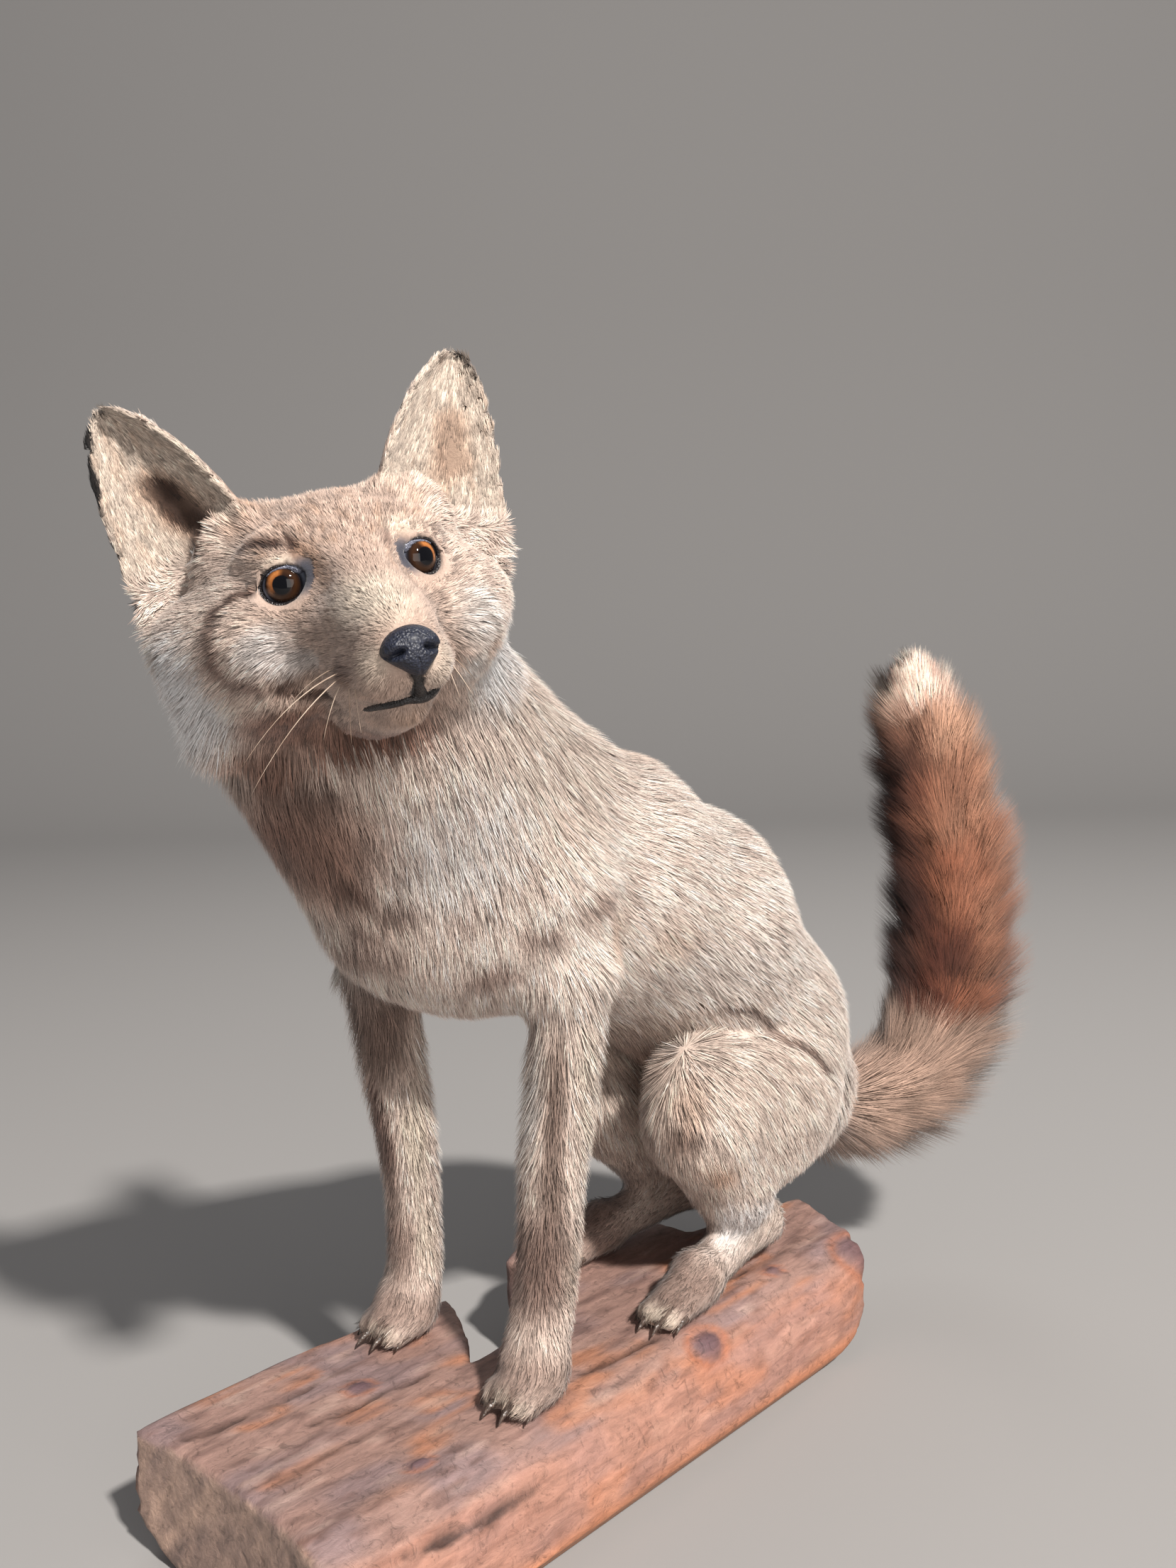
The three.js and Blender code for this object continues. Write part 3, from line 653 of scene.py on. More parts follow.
# dark rust of the brush, partly painted shade on the side away from the light
DARK_RUST_AND_SHADE = (0.30, 0.165, 0.125)
TAIL_PALE = (0.74, 0.585, 0.49)
TAIL_BROWN = (0.61, 0.505, 0.445)
TAIL_TIP = (0.93, 0.78, 0.71)

# Patches of hair on the head: where, how wide, which colour and how strong.
HEAD_PATCHES = [
    ((-5, -50, -11), (15, 30, 11), CREAM, 0.9),  # top of the muzzle
    ((10, -62, -36), (12, 12, 10), CREAM, 0.8),  # lips below the nose
    ((-13, -68, -31), (6, 8, 8), CREAM, 0.6),
    ((-29, -5, 10), (8, 7, 3.5), CREAM, 0.7),  # above the eyes
    ((26, -8, 15), (11, 8, 4), CREAM, 0.5),
    ((-20, -50, -33), (5.5, 6, 5.5), GREY_BROWN, 0.65),  # whisker pads
    ((20, -50, -35), (7, 9, 8), TAWNY, 0.5),
    ((-11, -57, -43), (8, 9, 5), TAWNY, 0.55),
    ((-40, -10, -22), (13, 12, 9), CHEEK, 0.95),  # white cheeks
    ((-31, -16, -30), (11, 10, 6), CHEEK, 0.9),
    ((45, -8, -26), (14, 16, 13), SILVER, 0.85),
    ((42, 2, -48), (10, 12, 12), SILVER, 0.9),
    ((53, 2, -40), (6, 8, 7), TAWNY, 0.6),
    # the ruff: white hair, given the brightest white partly as painted light
    ((-73, 32, -40), (17, 26, 32), WHITE, 1.0),  # ruff
    ((62, 34, -46), (20, 26, 24), WHITE, 0.9),
    # the chin: tawny, partly as painted shade below the lips
    ((0, -46, -57), (15, 22, 6), TAWNY, 0.45),  # chin
    # The next four: the throat's brown hair, darkened as painted shade under the jaw and the head.
    ((-4, 8, -72), (36, 32, 16), THROAT_AND_SHADE, 0.95),
    ((-40, 14, -58), (20, 20, 12), THROAT_AND_SHADE, 0.85),
    ((-50, 38, -76), (18, 20, 14), THROAT_AND_SHADE, 0.75),
    ((-33, 0, -51), (14, 12, 5), THROAT_AND_SHADE, 0.6),
    ((27, 42, 40), (5, 6, 7), DARK_BROWN, 0.7),  # before the left ear
]
# Streaks on the head: a line, how wide, which colour and how strong.
HEAD_STREAKS = [
    ([(-41, 3, 1.5), (-46, 4, 1), (-53, 9, -4)], 2.2, DARK_BROWN, 0.85),  # from the eye's outer corner
    # The next four: a dark line from behind the eye down under the cheek, partly dark hair and partly
    # painted shadow where the cheek overhangs the ruff and jaw.
    ([(-55, 9, -4), (-60, 7, -12), (-61, 3, -23)], 4.5, DARK_BROWN, 0.62),  # wedge behind the eye
    ([(-61, 3, -23), (-58, 0, -31), (-46, -5, -35)], 3.6, GREY_BROWN, 0.55),
    ([(-50, -2, -31), (-40, -6, -35), (-32, -8, -37)], 2.4, DARK_BROWN, 0.6),  # under the cheek
    ([(-38, -6, -38.5), (-31, -4, -41), (-25, -5, -43), (-20, -20, -46)], 2.2, DARK_BROWN, 0.8),
    # The next three: dark marks along the brow creases, partly painted shade in them, and a wide painted
    # shade in the hollow beside the bridge of the nose.
    ([(-39, 10, 15.5), (-34, 4, 16.5), (-27, -1, 16.5)], 2.6, DARK_BROWN, 1.0),  # brow marks
    ([(-22, -3, 16), (-20, -8, 11), (-17, -17, 4)], 3.2, DARK_BROWN, 1.0),
    ([(-19, -8, 12), (-16, -17, 6), (-15, -26, 0)], 5.0, TAWNY, 0.85),
    ([(-20, -30, -8), (-19, -40, -16), (-21, -45, -25)], 3.0, TAWNY, 0.2),  # beside the muzzle
    ([(16, -13, 13), (13.5, -23, 7)], 2.6, GREY_BROWN, 0.6),
    # painted shade in the hollow beside the left side of the bridge
    ([(13.5, -23, 7), (12, -36, 0)], 3.2, TAWNY, 0.5),
    ([(44, -4, 3), (52, 4, -2)], 2.4, TAWNY, 0.6),
    ([(-20, -50, -36), (-14, -60, -36)], 3.0, TAWNY, 0.5),
    ([(-23, -44, -29), (-22, -46, -34)], 2.2, DARK_BROWN, 0.6),  # among the whisker roots
]
# Patches on the body, in the fox's coordinates.
BODY_PATCHES = [
    ((29, -135, 261), (12, 10, 7), DARK_BROWN, 0.8),  # flecks on the chest
    ((19, -152, 272), (9, 9, 10), DARK_BROWN, 0.8),
    ((38, -122, 272), (5, 9, 12), GREY_BROWN, 0.6),
    ((8, -140, 252), (12, 9, 5), GREY_BROWN, 0.7),
    ((0, -130, 238), (30, 12, 8), GREY_BROWN, 0.5),
    ((50, -88, 226), (20, 12, 8), GREY_BROWN, 0.6),
    ((50, -106, 258), (14, 12, 6), GREY_BROWN, 0.45),
    ((66, -72, 246), (9, 14, 8), GREY_BROWN, 0.45),
    ((75, -40, 256), (9, 16, 7), DARK_BROWN, 0.45),
    ((70, -20, 236), (8, 12, 16), TAWNY, 0.55),
    ((46, -116, 298), (38, 40, 40), CHEST_WHITE, 0.85),
    # The next three: the throat's darker hair and painted shade under the chin.
    ((30, -188, 322), (30, 14, 10), DARK_BROWN, 0.6),  # throat
    ((4, -187, 306), (16, 14, 9), GREY_BROWN, 0.6),
    ((6, -172, 298), (44, 34, 40), THROAT_AND_SHADE, 0.75),
    ((69, 27, 221), (14, 20, 12), TAWNY, 0.3),
    ((60, 90, 200), (26, 60, 22), SILVER, 0.4),  # flanks
    ((-60, 90, 200), (26, 60, 22), SILVER, 0.4),
    ((0, 60, 315), (24, 120, 22), TAWNY, 0.3),  # along the spine
    ((0, 175, 200), (30, 60, 26), TAWNY, 0.25),
    ((0, 60, 150), (40, 90, 30), TAWNY, 0.4),  # belly
    ((61, -64, 128), (7, 9, 46), DARK_BROWN, 0.55),  # stripe down the left foreleg
    ((62, -64, 175), (6, 9, 24), DARK_BROWN, 0.45),
    ((45, -66, 155), (7, 8, 34), SILVER, 0.9),
    ((71, -42, 155), (7, 10, 44), CREAM, 0.6),
    ((54, -70, 74), (22, 24, 30), GREY_BROWN, 0.85),
    ((66, -50, 62), (8, 10, 26), CREAM, 0.5),
    # painted shadow of the chest over darker hair on the top of the right foreleg
    ((-48, -82, 184), (26, 22, 32), DARK_BROWN, 0.6),  # and down the right one
    ((-60, -72, 120), (8, 12, 50), GREY_BROWN, 0.9),
    ((-42, -60, 116), (7, 10, 34), CREAM, 0.95),
    ((-58, -66, 56), (14, 14, 22), GREY_BROWN, 0.6),
    ((-46, -52, 60), (7, 8, 26), CREAM, 0.75),
    ((64, 42, 138), (12, 12, 20), TAWNY, 0.5),  # fronts of the thighs
    ((-64, 68, 138), (12, 12, 20), TAWNY, 0.5),
    ((60, 42, 113), (13, 9, 10), DARK_BROWN, 0.55),  # below the knees
    ((-62, 70, 112), (13, 9, 10), DARK_BROWN, 0.55),
    ((66, 66, 88), (10, 16, 12), TAWNY, 0.8),
    ((-68, 96, 86), (10, 16, 12), TAWNY, 0.8),
    ((58, 100, 42), (14, 30, 18), WHITE, 0.85),  # hocks
    ((-56, 130, 42), (14, 30, 18), WHITE, 0.85),
    ((38, 62, 34), (11, 34, 12), GREY_BROWN, 0.45),  # fronts of the long feet
    ((-42, 88, 34), (11, 34, 12), GREY_BROWN, 0.75),
    ((26, 246, 22), (26, 26, 14), DARK_BROWN, 0.9),  # under the root of the tail
]
PAWS = [(49, -78), (-60, -66), (48, 46), (-48, 72)]  # the middle of each paw, in plan
# The seam over each thigh, where the skins were sewn: a dark crease along an arc.
THIGH_SEAM = stations([(41, 55, 164, 0), (58, 68, 173, 0), (67, 100, 167, 0), (71, 134, 147, 0),
                       (76, 169, 120, 0)])
SEAM_WIDTH = 3.0


def soft_patch(p, centre, size):
    """exp(-k^4), with k = |(p - centre) / size|: 1 in the middle and little past the rim."""
    k = np.linalg.norm((p - np.asarray(centre, float)) / np.asarray(size, float), axis=1)
    return np.exp(-k ** 4)


def blended(colour, other, amount):
    """Each colour moved towards another by its own amount."""
    return colour + (np.asarray(other, float) - colour) * np.asarray(amount)[:, None]


NOISE_CELLS = 32  # along each side of the cube of values, which repeats


def random_cube(seed):
    """A cube of random values from 0 to 1."""
    return np.random.default_rng(seed).random((NOISE_CELLS,) * 3)


def lattice_noise(p, size, seed):
    """Smooth noise from 0 to 1: a seeded cube of random values, read between its nodes."""
    values = random_cube(seed)
    at = p / size + 500
    base = np.floor(at).astype(int)
    t = at - base
    t = t * t * (3 - 2 * t)
    total = np.zeros(len(p))
    for i, j, k in np.ndindex(2, 2, 2):
        corner = (base + (i, j, k)) % NOISE_CELLS
        weight = np.prod(np.where((i, j, k), t, 1 - t), axis=1)
        total += weight * values[tuple(corner.T)]
    return total


def near_leaf(q, side, across, lift, thick=9, wide=1.25):
    """1 within a few millimetres of the leaf of the ear on that side of the head."""
    return (np.abs(lift) < thick) * (np.abs(across) < wide) * (q[:, 0] * side > 0)


def ear_share(p):
    """1 on the ears and 0 elsewhere."""
    q = to_head(p)
    share = np.zeros(len(p))
    for side in (1, -1):
        t, across, lift, _ = ear_leaf(q, side)
        share = np.maximum(share, ramp(t, 0.02, 0.14) * near_leaf(q, side, across, lift))
    return share


MARKINGS_OVER_NECK = 6.0  # mm over the skin, where the neck's markings are placed


def over_coat(p, normal, weight):
    """The place on the outside of the coat over each place on the skin."""
    q = to_head(p)
    depth = weight[HEAD_PART] * head_depth(q, mirrored(q)) * (1 - ear_share(p))
    depth += weight[NECK_PART] * MARKINGS_OVER_NECK + weight[TRUNK_PART] * TRUNK_HAIR
    for part in FORELEGS + HINDLEGS:
        depth += weight[part] * leg_depth(p)
    return p + normal * depth[:, None]


BASE_COLOURS = {HEAD_PART: FOREHEAD, NECK_PART: BEIGE, TRUNK_PART: PALE, FORE_LEFT: LEG,
                FORE_RIGHT: LEG, HIND_LEFT: BEIGE, HIND_RIGHT: BEIGE, TAIL_PART: TAIL_BROWN}


def head_markings(colour, q, on_head):
    """Crown, sides of the face, patches and streaks, laid over one another."""
    crown = ramp(q[:, 2], 2, 14) * ramp(lattice_noise(q / (1, 4, 2), 2.4, 5), 0.55, 0.85)
    colour = blended(colour, BEIGE, on_head * ramp(q[:, 1], 20, 60) * 0.7)
    colour = blended(colour, TAWNY, on_head * crown * 0.5)
    colour = blended(colour, PALE, on_head * ramp(np.abs(q[:, 0]), 30, 50) * 0.5)
    for centre, size, tone, strength in HEAD_PATCHES:
        colour = blended(colour, tone, strength * soft_patch(q, centre, size) * (on_head > 0.1))
    for line, width, tone, strength in HEAD_STREAKS:
        near = np.exp(-(line_distance(q, line) / width) ** 4) * (on_head > 0.1)
        colour = blended(colour, tone, strength * near)
    return colour


def paw_markings(colour, p):
    """Grey-brown feet with cream toes, and a dark line on each side of the middle toes."""
    for x, y in PAWS:
        colour = blended(colour, GREY_BROWN, 0.8 * soft_patch(p, (x, y + 6, 16), (24, 30, 20)))
        colour = blended(colour, CREAM, 0.85 * soft_patch(p, (x, y - 20, 9), (22, 10, 9)))
        toe_gap = np.abs(np.abs(p[:, 0] - x) - 8) < 2.2
        colour = blended(colour, DARK_BROWN, 0.7 * toe_gap * soft_patch(p, (x, y - 16, 8), (22, 16, 12)))
    return colour


TAIL_X, TAIL_Y, TAIL_SLANT = 58, 340, 0.35  # the upright stretch of the tail, in plan
BRUSH_FOOT = 116  # where the rust-coloured brush begins


def above_tail_root(p):
    """Height over the slanting end of the tail's brown root."""
    return p[:, 2] - TAIL_SLANT * (p[:, 1] - TAIL_Y)


def tail_markings(colour, p, on_tail):
    """Brown at the root, then rust, paler upwards, and a pale tip. Across the brush it runs from dark rust
    on its right to rust and pale on its left, partly its own colour and partly painted shade and painted
    light.
    """
    brush = ramp(above_tail_root(p), BRUSH_FOOT - 12, BRUSH_FOOT) * on_tail
    tufted = lattice_noise(p / (1, 1, 2.4), 12, 4)
    left = p[:, 0] + TAIL_SLANT * (p[:, 1] - TAIL_Y) - TAIL_X
    rusty = ramp(0.5 * tufted + left * 0.014 + (p[:, 2] - 200) * 0.0016, 0.1, 0.5)
    colour = blended(colour, DARK_RUST_AND_SHADE, brush)
    colour = blended(colour, RUST, brush * rusty)
    # paler to the tail's left, partly as painted light
    colour = blended(colour, TAIL_PALE, brush * ramp(left + 22 * tufted, 24, 50) * 0.4)
    colour = blended(colour, TAIL_PALE, brush * ramp(p[:, 2] + 0.6 * left + 50 * tufted, 250, 340) * 0.8)
    return blended(colour, TAIL_TIP, on_tail * ramp(p[:, 2] + 20 * tufted, 306, 338))


def ear_markings(colour, q, side):
    """An ear: cream inside, with a brown hollow and painted shade in and round it, black behind and along
    the outer rim.
    """
    t, across, lift, half = ear_leaf(q, side)
    on_ear = near_leaf(q, side, across, lift) * ramp(t, 0.0, 0.16)
    back = on_ear * ramp(-lift, 0.0, 1.5)
    inside = on_ear * ramp(lift, -0.5, 1.5)
    dark_back = ramp(t, 0.12, 0.42)
    tangled = ramp(lattice_noise(q / (1, 1, 3), 2.6, 6), 0.55, 0.9)
    colour = blended(colour, EAR_CREAM, inside * 0.95)
    colour = blended(colour, TAWNY, inside * tangled * 0.3)
    colour = blended(colour, BLACK, back * dark_back * ramp(-across, -0.95, -0.8))
    colour = blended(colour, TAWNY, back * (1 - dark_back) * 0.6)
    from_rim = (1 + across) * half
    up_the_rim = ramp(t, 0.42, 0.6) if side < 0 else 0.45 * ramp(t, 0.8, 0.9)
    colour = blended(colour, BLACK, on_ear * (ramp(-from_rim, -3.6, -2.6) * up_the_rim))
    hollow = ear_hollow(q, side)
    # Painted shade round and in the hollow: tawny round it on both ears, and brown in it, full on the
    # right ear, a quarter as strong on the left, and strongest towards one edge of the leaf.
    shade = ramp(across, -0.75, 0.0) * (0.25 if side > 0 else 1.0)
    colour = blended(colour, TAWNY, ramp(-hollow, -7, -1) * 0.6 * ramp(t, 0.0, 0.2))
    return blended(colour, EAR_HOLLOW_BROWN_AND_SHADE, ramp(-hollow, -3.2, -0.8) * shade)


def hair_colour(p, normal, weight):
    """The sRGB colour of the hair that grows at each point: all the markings in turn, some of them painted
    shade and painted light.
    """
    p = over_coat(p, normal, weight)
    warp = np.stack([lattice_noise(p, 9, seed) for seed in (1, 2, 3)], axis=1) - 0.5
    q = to_head(p + warp * 2.2)
    p = p + warp * 6
    body = 1 - weight[HEAD_PART]
    colour = np.zeros_like(p)
    for part, base in BASE_COLOURS.items():
        colour += weight[part][:, None] * np.array(base)
    colour = head_markings(colour, q, weight[HEAD_PART])
    for centre, size, tone, strength in BODY_PATCHES:
        colour = blended(colour, tone, strength * soft_patch(p, centre, size) * body)
    colour = tail_markings(paw_markings(colour, p), p, weight[TAIL_PART])
    for side in (1, -1):
        colour = ear_markings(colour, q, side)
    for side in (1, -1):
        seam = np.exp(-(tube(p * (side, 1, 1), THIGH_SEAM) / SEAM_WIDTH) ** 4)
        colour = blended(colour, DARK_BROWN, 0.7 * seam * body)
    return np.clip(colour, 0, 1)


def linear(colour):
    """sRGB to linear light: ((c + 0.055) / 1.055)^2.4."""
    return np.where(colour < 0.04045, colour / 12.92, ((colour + 0.055) / 1.055) ** 2.4)


def paint(thing, name, colours):
    """Stores a linear colour for each point of a piece, for its material to read."""
    attribute = thing.data.color_attributes.new(name, "FLOAT_COLOR", "POINT")
    rows = np.concatenate([colours, np.ones((len(colours), 1))], axis=1)
    attribute.data.foreach_set("color", rows.astype(np.float32).ravel())


def in_frame(p):
    """Fox millimetres to metres in the frame."""
    return (np.asarray(p) + FOX_PLACE) / 1000


INNER_CORNER = np.array([19.8, -10.4, 2.4])  # of the left eye, on the folded head
CORNER_GREY = (0.22, 0.225, 0.265)
# The skin under the hair is darker, as under-fur and as painted shade in the gaps between the locks.
UNDERFUR_AND_SHADE = 0.9  # brightness of the skin under its hair


def bare_skin_colour(colour):
    """Bare places on the skin: blue-grey at the inner corners, black lids and lips."""
    q = to_head(skin_points)
    m = mirrored(q)
    local = (m - EYE_PLACE) @ EYE.T
    round_eye = np.linalg.norm(local, axis=1) - EYE_RADIUS
    colour = blended(colour, CORNER_GREY, soft_patch(m, INNER_CORNER, (6.0, 7.0, 8.5)))
    colour = blended(colour, BLACK, ramp(-round_eye, -2.4, -0.8) * (local[:, 2] > 0))
    lip = mouth_distance(m)
    front = ramp(-q[:, 1], 36, 46) * ramp(-q[:, 0], -16, -12)
    colour = blended(colour, BLACK, ramp(-lip, -2.8, -1.4) * front)
    strip = np.maximum(np.abs(q[:, 0] - 2.2) - 2.6, np.abs(q[:, 2] + 42) - 6)
    return blended(colour, BLACK, ramp(-strip, -1.2, 0.4) * (q[:, 1] < -56))


skin = add_mesh("skin", in_frame(skin_points), skin_faces)
shaded_smooth(skin)
skin_colour = hair_colour(skin_points, skin_normals, part_weight) * UNDERFUR_AND_SHADE
paint(skin, "hair", linear(bare_skin_colour(skin_colour)))


def node(material, kind, **inputs):
    """A shader node with some of its sockets set by name."""
    made = material.node_tree.nodes.new(kind)
    for name, value in inputs.items():
        made.inputs[name.replace("_", " ")].default_value = value
    return made


def link(material, source, target):
    """Joins one socket of a material's nodes to another."""
    material.node_tree.links.new(source, target)


def stored_colour(material, name):
    """The colours that are painted on a piece's points under a name."""
    stored = node(material, "ShaderNodeAttribute")
    stored.attribute_name = name
    return stored.outputs["Color"]


def scaled_by_noise(material, tint, noise, low, high, least, most):
    """A tint times a noise, whose values from low to high are spread from least to most."""
    spread = node(material, "ShaderNodeMapRange", From_Min=low, From_Max=high, To_Min=least, To_Max=most)
    link(material, noise.outputs["Fac"], spread.inputs["Value"])
    scaled = node(material, "ShaderNodeVectorMath")
    scaled.operation = "SCALE"
    link(material, tint, scaled.inputs[0])
    link(material, spread.outputs["Result"], scaled.inputs["Scale"])
    return scaled.outputs["Vector"]


def in_relief(material, height, strength, distance):
    """Bumps on the surface from the values of a socket, in metres."""
    relief = node(material, "ShaderNodeBump", Strength=strength, Distance=distance)
    link(material, height, relief.inputs["Height"])
    link(material, relief.outputs["Normal"], material.node_tree.nodes["Principled BSDF"].inputs["Normal"])
    return relief


def hair_material(name, grain, roughness, bump):
    """Hair: its painted colour, with a fine streaky grain in colour and in bump."""
    material = plain_material(name, (0.6, 0.5, 0.42), roughness)
    shader = material.node_tree.nodes["Principled BSDF"]
    shader.inputs["Specular IOR Level"].default_value = 0.2
    shader.inputs["Sheen Weight"].default_value = 0.2
    shader.inputs["Sheen Roughness"].default_value = 0.5
    place = node(material, "ShaderNodeTexCoord")
    noise = node(material, "ShaderNodeTexNoise", Scale=grain, Detail=4.0, Roughness=0.65)
    link(material, place.outputs["Object"], noise.inputs["Vector"])
    tint = scaled_by_noise(material, stored_colour(material, "hair"), noise, 0.3, 0.7, 0.8, 1.16)
    link(material, tint, shader.inputs["Base Color"])
    in_relief(material, noise.outputs["Fac"], bump, 0.0006)
    return material


skin.data.materials.append(hair_material("short_hair_and_skin", 900.0, 0.8, 0.6))
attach(skin, "root")
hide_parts("head", "neck", "trunk", "tail_base", "tail_brush", "ear_left", "ear_right",
            "foreleg_left", "foreleg_right", "hindleg_left", "hindleg_right")

# ---- The coat --------------------------------------------------------------------
# Locks of hair, each a thin three-sided blade that rises from the skin to a point. They
# are rooted at random all over the skin, follow the lie of the coat, turn and gather
# with their neighbours, and are shortest on the face and feet.


def lie_on_head(p):
    """Back from the nose, down and out over the cheeks, and up and outwards on each ear."""
    q = to_head(p)
    m = mirrored(q)
    side = np.sign(q[:, :1])
    stream = unit(q - (0, -92, -22)) + ramp(m[:, :1], 30, 55) * (side * (0.35, 0, 0) + (0, 0.25, -0.75))
    stream += ramp(-m[:, 2:], 30, 60) * (0, 0.5, -0.4)
    stream = stream @ HEAD
    for ear in (1, -1):
        t, across, lift, _ = ear_leaf(q, ear)
        near = (ramp(t, -0.06, 0.14) * near_leaf(q, ear, across, lift, 10, 1.3))[:, None]
        axes = ear_axes(ear) * (ear, 1, 1)
        fan = np.clip(across, -1, 1) * 0.35 * (0.5 + np.clip(t, 0, 1))
        on_ear = axes[2] - axes[0] * fan[:, None]
        stream = stream * (1 - near) + (on_ear @ HEAD) * near
    return stream


def lie_on_tail(p):
    """Along the nearest stretch of the tail, and outwards near its tip."""
    spans = TAIL[1:, :3] - TAIL[:-1, :3]
    nearest = np.argmin([np.linalg.norm(p - row, axis=1) for row in TAIL[:-1, :3]], axis=0)
    outwards = unit(p - TAIL[nearest, :3])
    return unit(spans)[nearest] + outwards * 0.8 * ramp(p[:, 2:], 318, 345)


def between(first, second, share):
    """The first direction where a share is 0, and the second where it is 1."""
    return np.array(first) * (1 - share) + np.array(second) * share


def lie_of_coat(p, weight):
    """The way the hair lies: each part has its own stream, mixed by the parts' weights."""
    behind = unit(p - (0, 0, 300))[:, 1:2]
    on_neck = np.array([-0.1, 0.35, -0.85]) + np.maximum(behind, 0) * (0, 0.5, 0.25)
    on_trunk = between((0, 0.75, -0.62), (0, 0.12, -1), ramp(-p[:, 1:2], 20, 90))
    on_trunk = on_trunk + ramp(p[:, 1:2], 150, 215) * (0, -0.45, -0.5)
    on_foreleg = between((0, 0.1, -1), (0, -1, -0.35), ramp(-p[:, 2:], -34, -10))
    on_hindleg = between((0, 0.42, -0.9), (0.05, -1, -0.25), ramp(-p[:, 2:], -48, -24))
    streams = {HEAD_PART: lie_on_head(p), NECK_PART: on_neck, TRUNK_PART: on_trunk,
               FORE_LEFT: on_foreleg, FORE_RIGHT: on_foreleg,
               HIND_LEFT: on_hindleg, HIND_RIGHT: on_hindleg, TAIL_PART: lie_on_tail(p)}
    return sum(weight[part][:, None] * unit(stream) for part, stream in streams.items())


def sizes_on_head(p):
    """Sizes of the locks on the head: short on the muzzle, long on the ruff, least on the ears.

    They are shorter too round the eyes, lips and nose, and beside the ears.
    """
    q = to_head(p)
    m = mirrored(q)
    ears = ear_share(p)
    back = ramp(q[:, 1], -30, 40)
    ruff = ramp(m[:, 0], 42, 62) * ramp(-q[:, 2], 10, 40) + ramp(q[:, 1], 55, 95) * 0.7
    ruff = np.clip(ruff, 0, 1)
    lid_middle = EYE_PLACE + EYE_GAZE * 8 - (2.5, 2, 0)
    near_eye = ramp(-np.linalg.norm(m - lid_middle, axis=1), -20, -13)
    near_lips = ramp(-mouth_distance(m), -7, -3) * ramp(-q[:, 1], 34, 44)
    near_nose = ramp(-ellipsoid(q, NOSE_MIDDLE, NOSE_SIZE), -6, -1)
    shorter = 1 - 0.72 * np.maximum(near_eye, np.maximum(near_lips, near_nose))
    beside_ear = ramp(m[:, 0], 38, 55) * ramp(q[:, 2], -8, 8)
    pads = soft_patch(q, (-21, -47, -32), (6, 8, 8)) + soft_patch(q, (20, -50, -33), (7, 10, 9))
    cheeks = soft_patch(q, (-40, -10, -24), (16, 14, 14)) + soft_patch(q, (44, -8, -28), (16, 16, 16))
    length = (3.8 + 4.7 * back + 12 * ruff + 2.6 * cheeks) * shorter
    length = length * (1 - 0.45 * beside_ear) * (1 - ears) + 4.2 * ears
    lift = head_depth(q, m) * 0.85 + 0.4 + 1.8 * pads + 0.9 * cheeks
    lift = lift * shorter * (1 - 0.5 * beside_ear) * (1 - ears) + 0.32 * ears
    half_width = 0.28 + 0.09 * back - 0.04 * ears
    return length, half_width, lift * (1 - 0.2 * ruff), 1 - 0.3 * back - 0.25 * ruff


def coat_sizes(p, weight):
    """Length, half width, height of the tip over the skin, and how close the locks stand."""
    leg = ramp(p[:, 2], 20, 90)
    upper = ramp(p[:, 2], 110, 205)
    tail_length = 22 + 8 * ramp(p[:, 1], 235, 300) - 15 * ramp(p[:, 2], 315, 345)
    tail_radius = TAIL[np.argmin([np.linalg.norm(p - row[:3], axis=1) for row in TAIL], axis=0), 3]
    table = {
        HEAD_PART: sizes_on_head(p),
        NECK_PART: (19.0, 0.37, 5.8, 1.0),
        TRUNK_PART: (16.0, 0.34, 4.5, 1.0),
        FORE_LEFT: (5.5 + 3.5 * leg + 8 * upper, 0.34 + 0.04 * upper, leg_depth(p), 1 - 0.2 * upper),
        HIND_LEFT: (5.5 + 9 * ramp(p[:, 2], 40, 95), 0.33 + 0.03 * leg, leg_depth(p), 1.0),
        TAIL_PART: (tail_length, 0.45, tail_radius * (1 - TAIL_CORE) * 1.12, 1.0),
    }
    table[FORE_RIGHT] = table[FORE_LEFT]
    table[HIND_RIGHT] = table[HIND_LEFT]
    length, half_width, lift, closeness = (
        sum(weight[part] * row[n] for part, row in table.items()) for n in range(4))
    seam = tube(p * np.where(p[:, :1] > 0, 1, (-1, 1, 1)), THIGH_SEAM)
    shorter = 1 - 0.65 * ramp(-seam, -9, -3) * (1 - weight[HEAD_PART])
    return length * shorter, half_width, lift * shorter, closeness


stream = lie_of_coat(skin_points, part_weight)
length, half_width, lift, closeness = coat_sizes(skin_points, part_weight)


def is_bare(p):
    """Where no hair grows: eyes' openings, nose, lips, hollows of the ears and soles."""
    q = to_head(p)
    m = mirrored(q)
    local = (m - EYE_PLACE) @ EYE.T
    margin = 1.6 + 3.4 * ramp(-local[:, 0], 0, 7)
    half = lid_height(local[:, 0] / 1.15) * np.where(local[:, 1] > 0, LID_UP, LID_DOWN) + margin
    eye = (np.abs(local[:, 1]) < half) & (local[:, 0] < SLIT_OUT + 3.5) & (local[:, 0] > -SLIT_IN - 4.5)
    eye &= (local[:, 2] > -2) & (np.linalg.norm(local, axis=1) < 22)
    eye |= np.linalg.norm((m - INNER_CORNER) / (1, 1, 1.3), axis=1) < 5.4
    nose = ellipsoid(q, NOSE_MIDDLE, NOSE_SIZE) < -0.3
    lips = (mouth_distance(m) < 1.8) & (q[:, 1] < -36) & (q[:, 0] < 15)
    seam = (np.abs(q[:, 0] - 2.2) < 2.6) & (q[:, 1] < -56) & (q[:, 2] < -34) & (q[:, 2] > -48)
    hollow = np.minimum(ear_hollow(q, 1), ear_hollow(q, -1)) < 1.2
    return eye | nose | lips | seam | hollow | (p[:, 2] < 2.2)


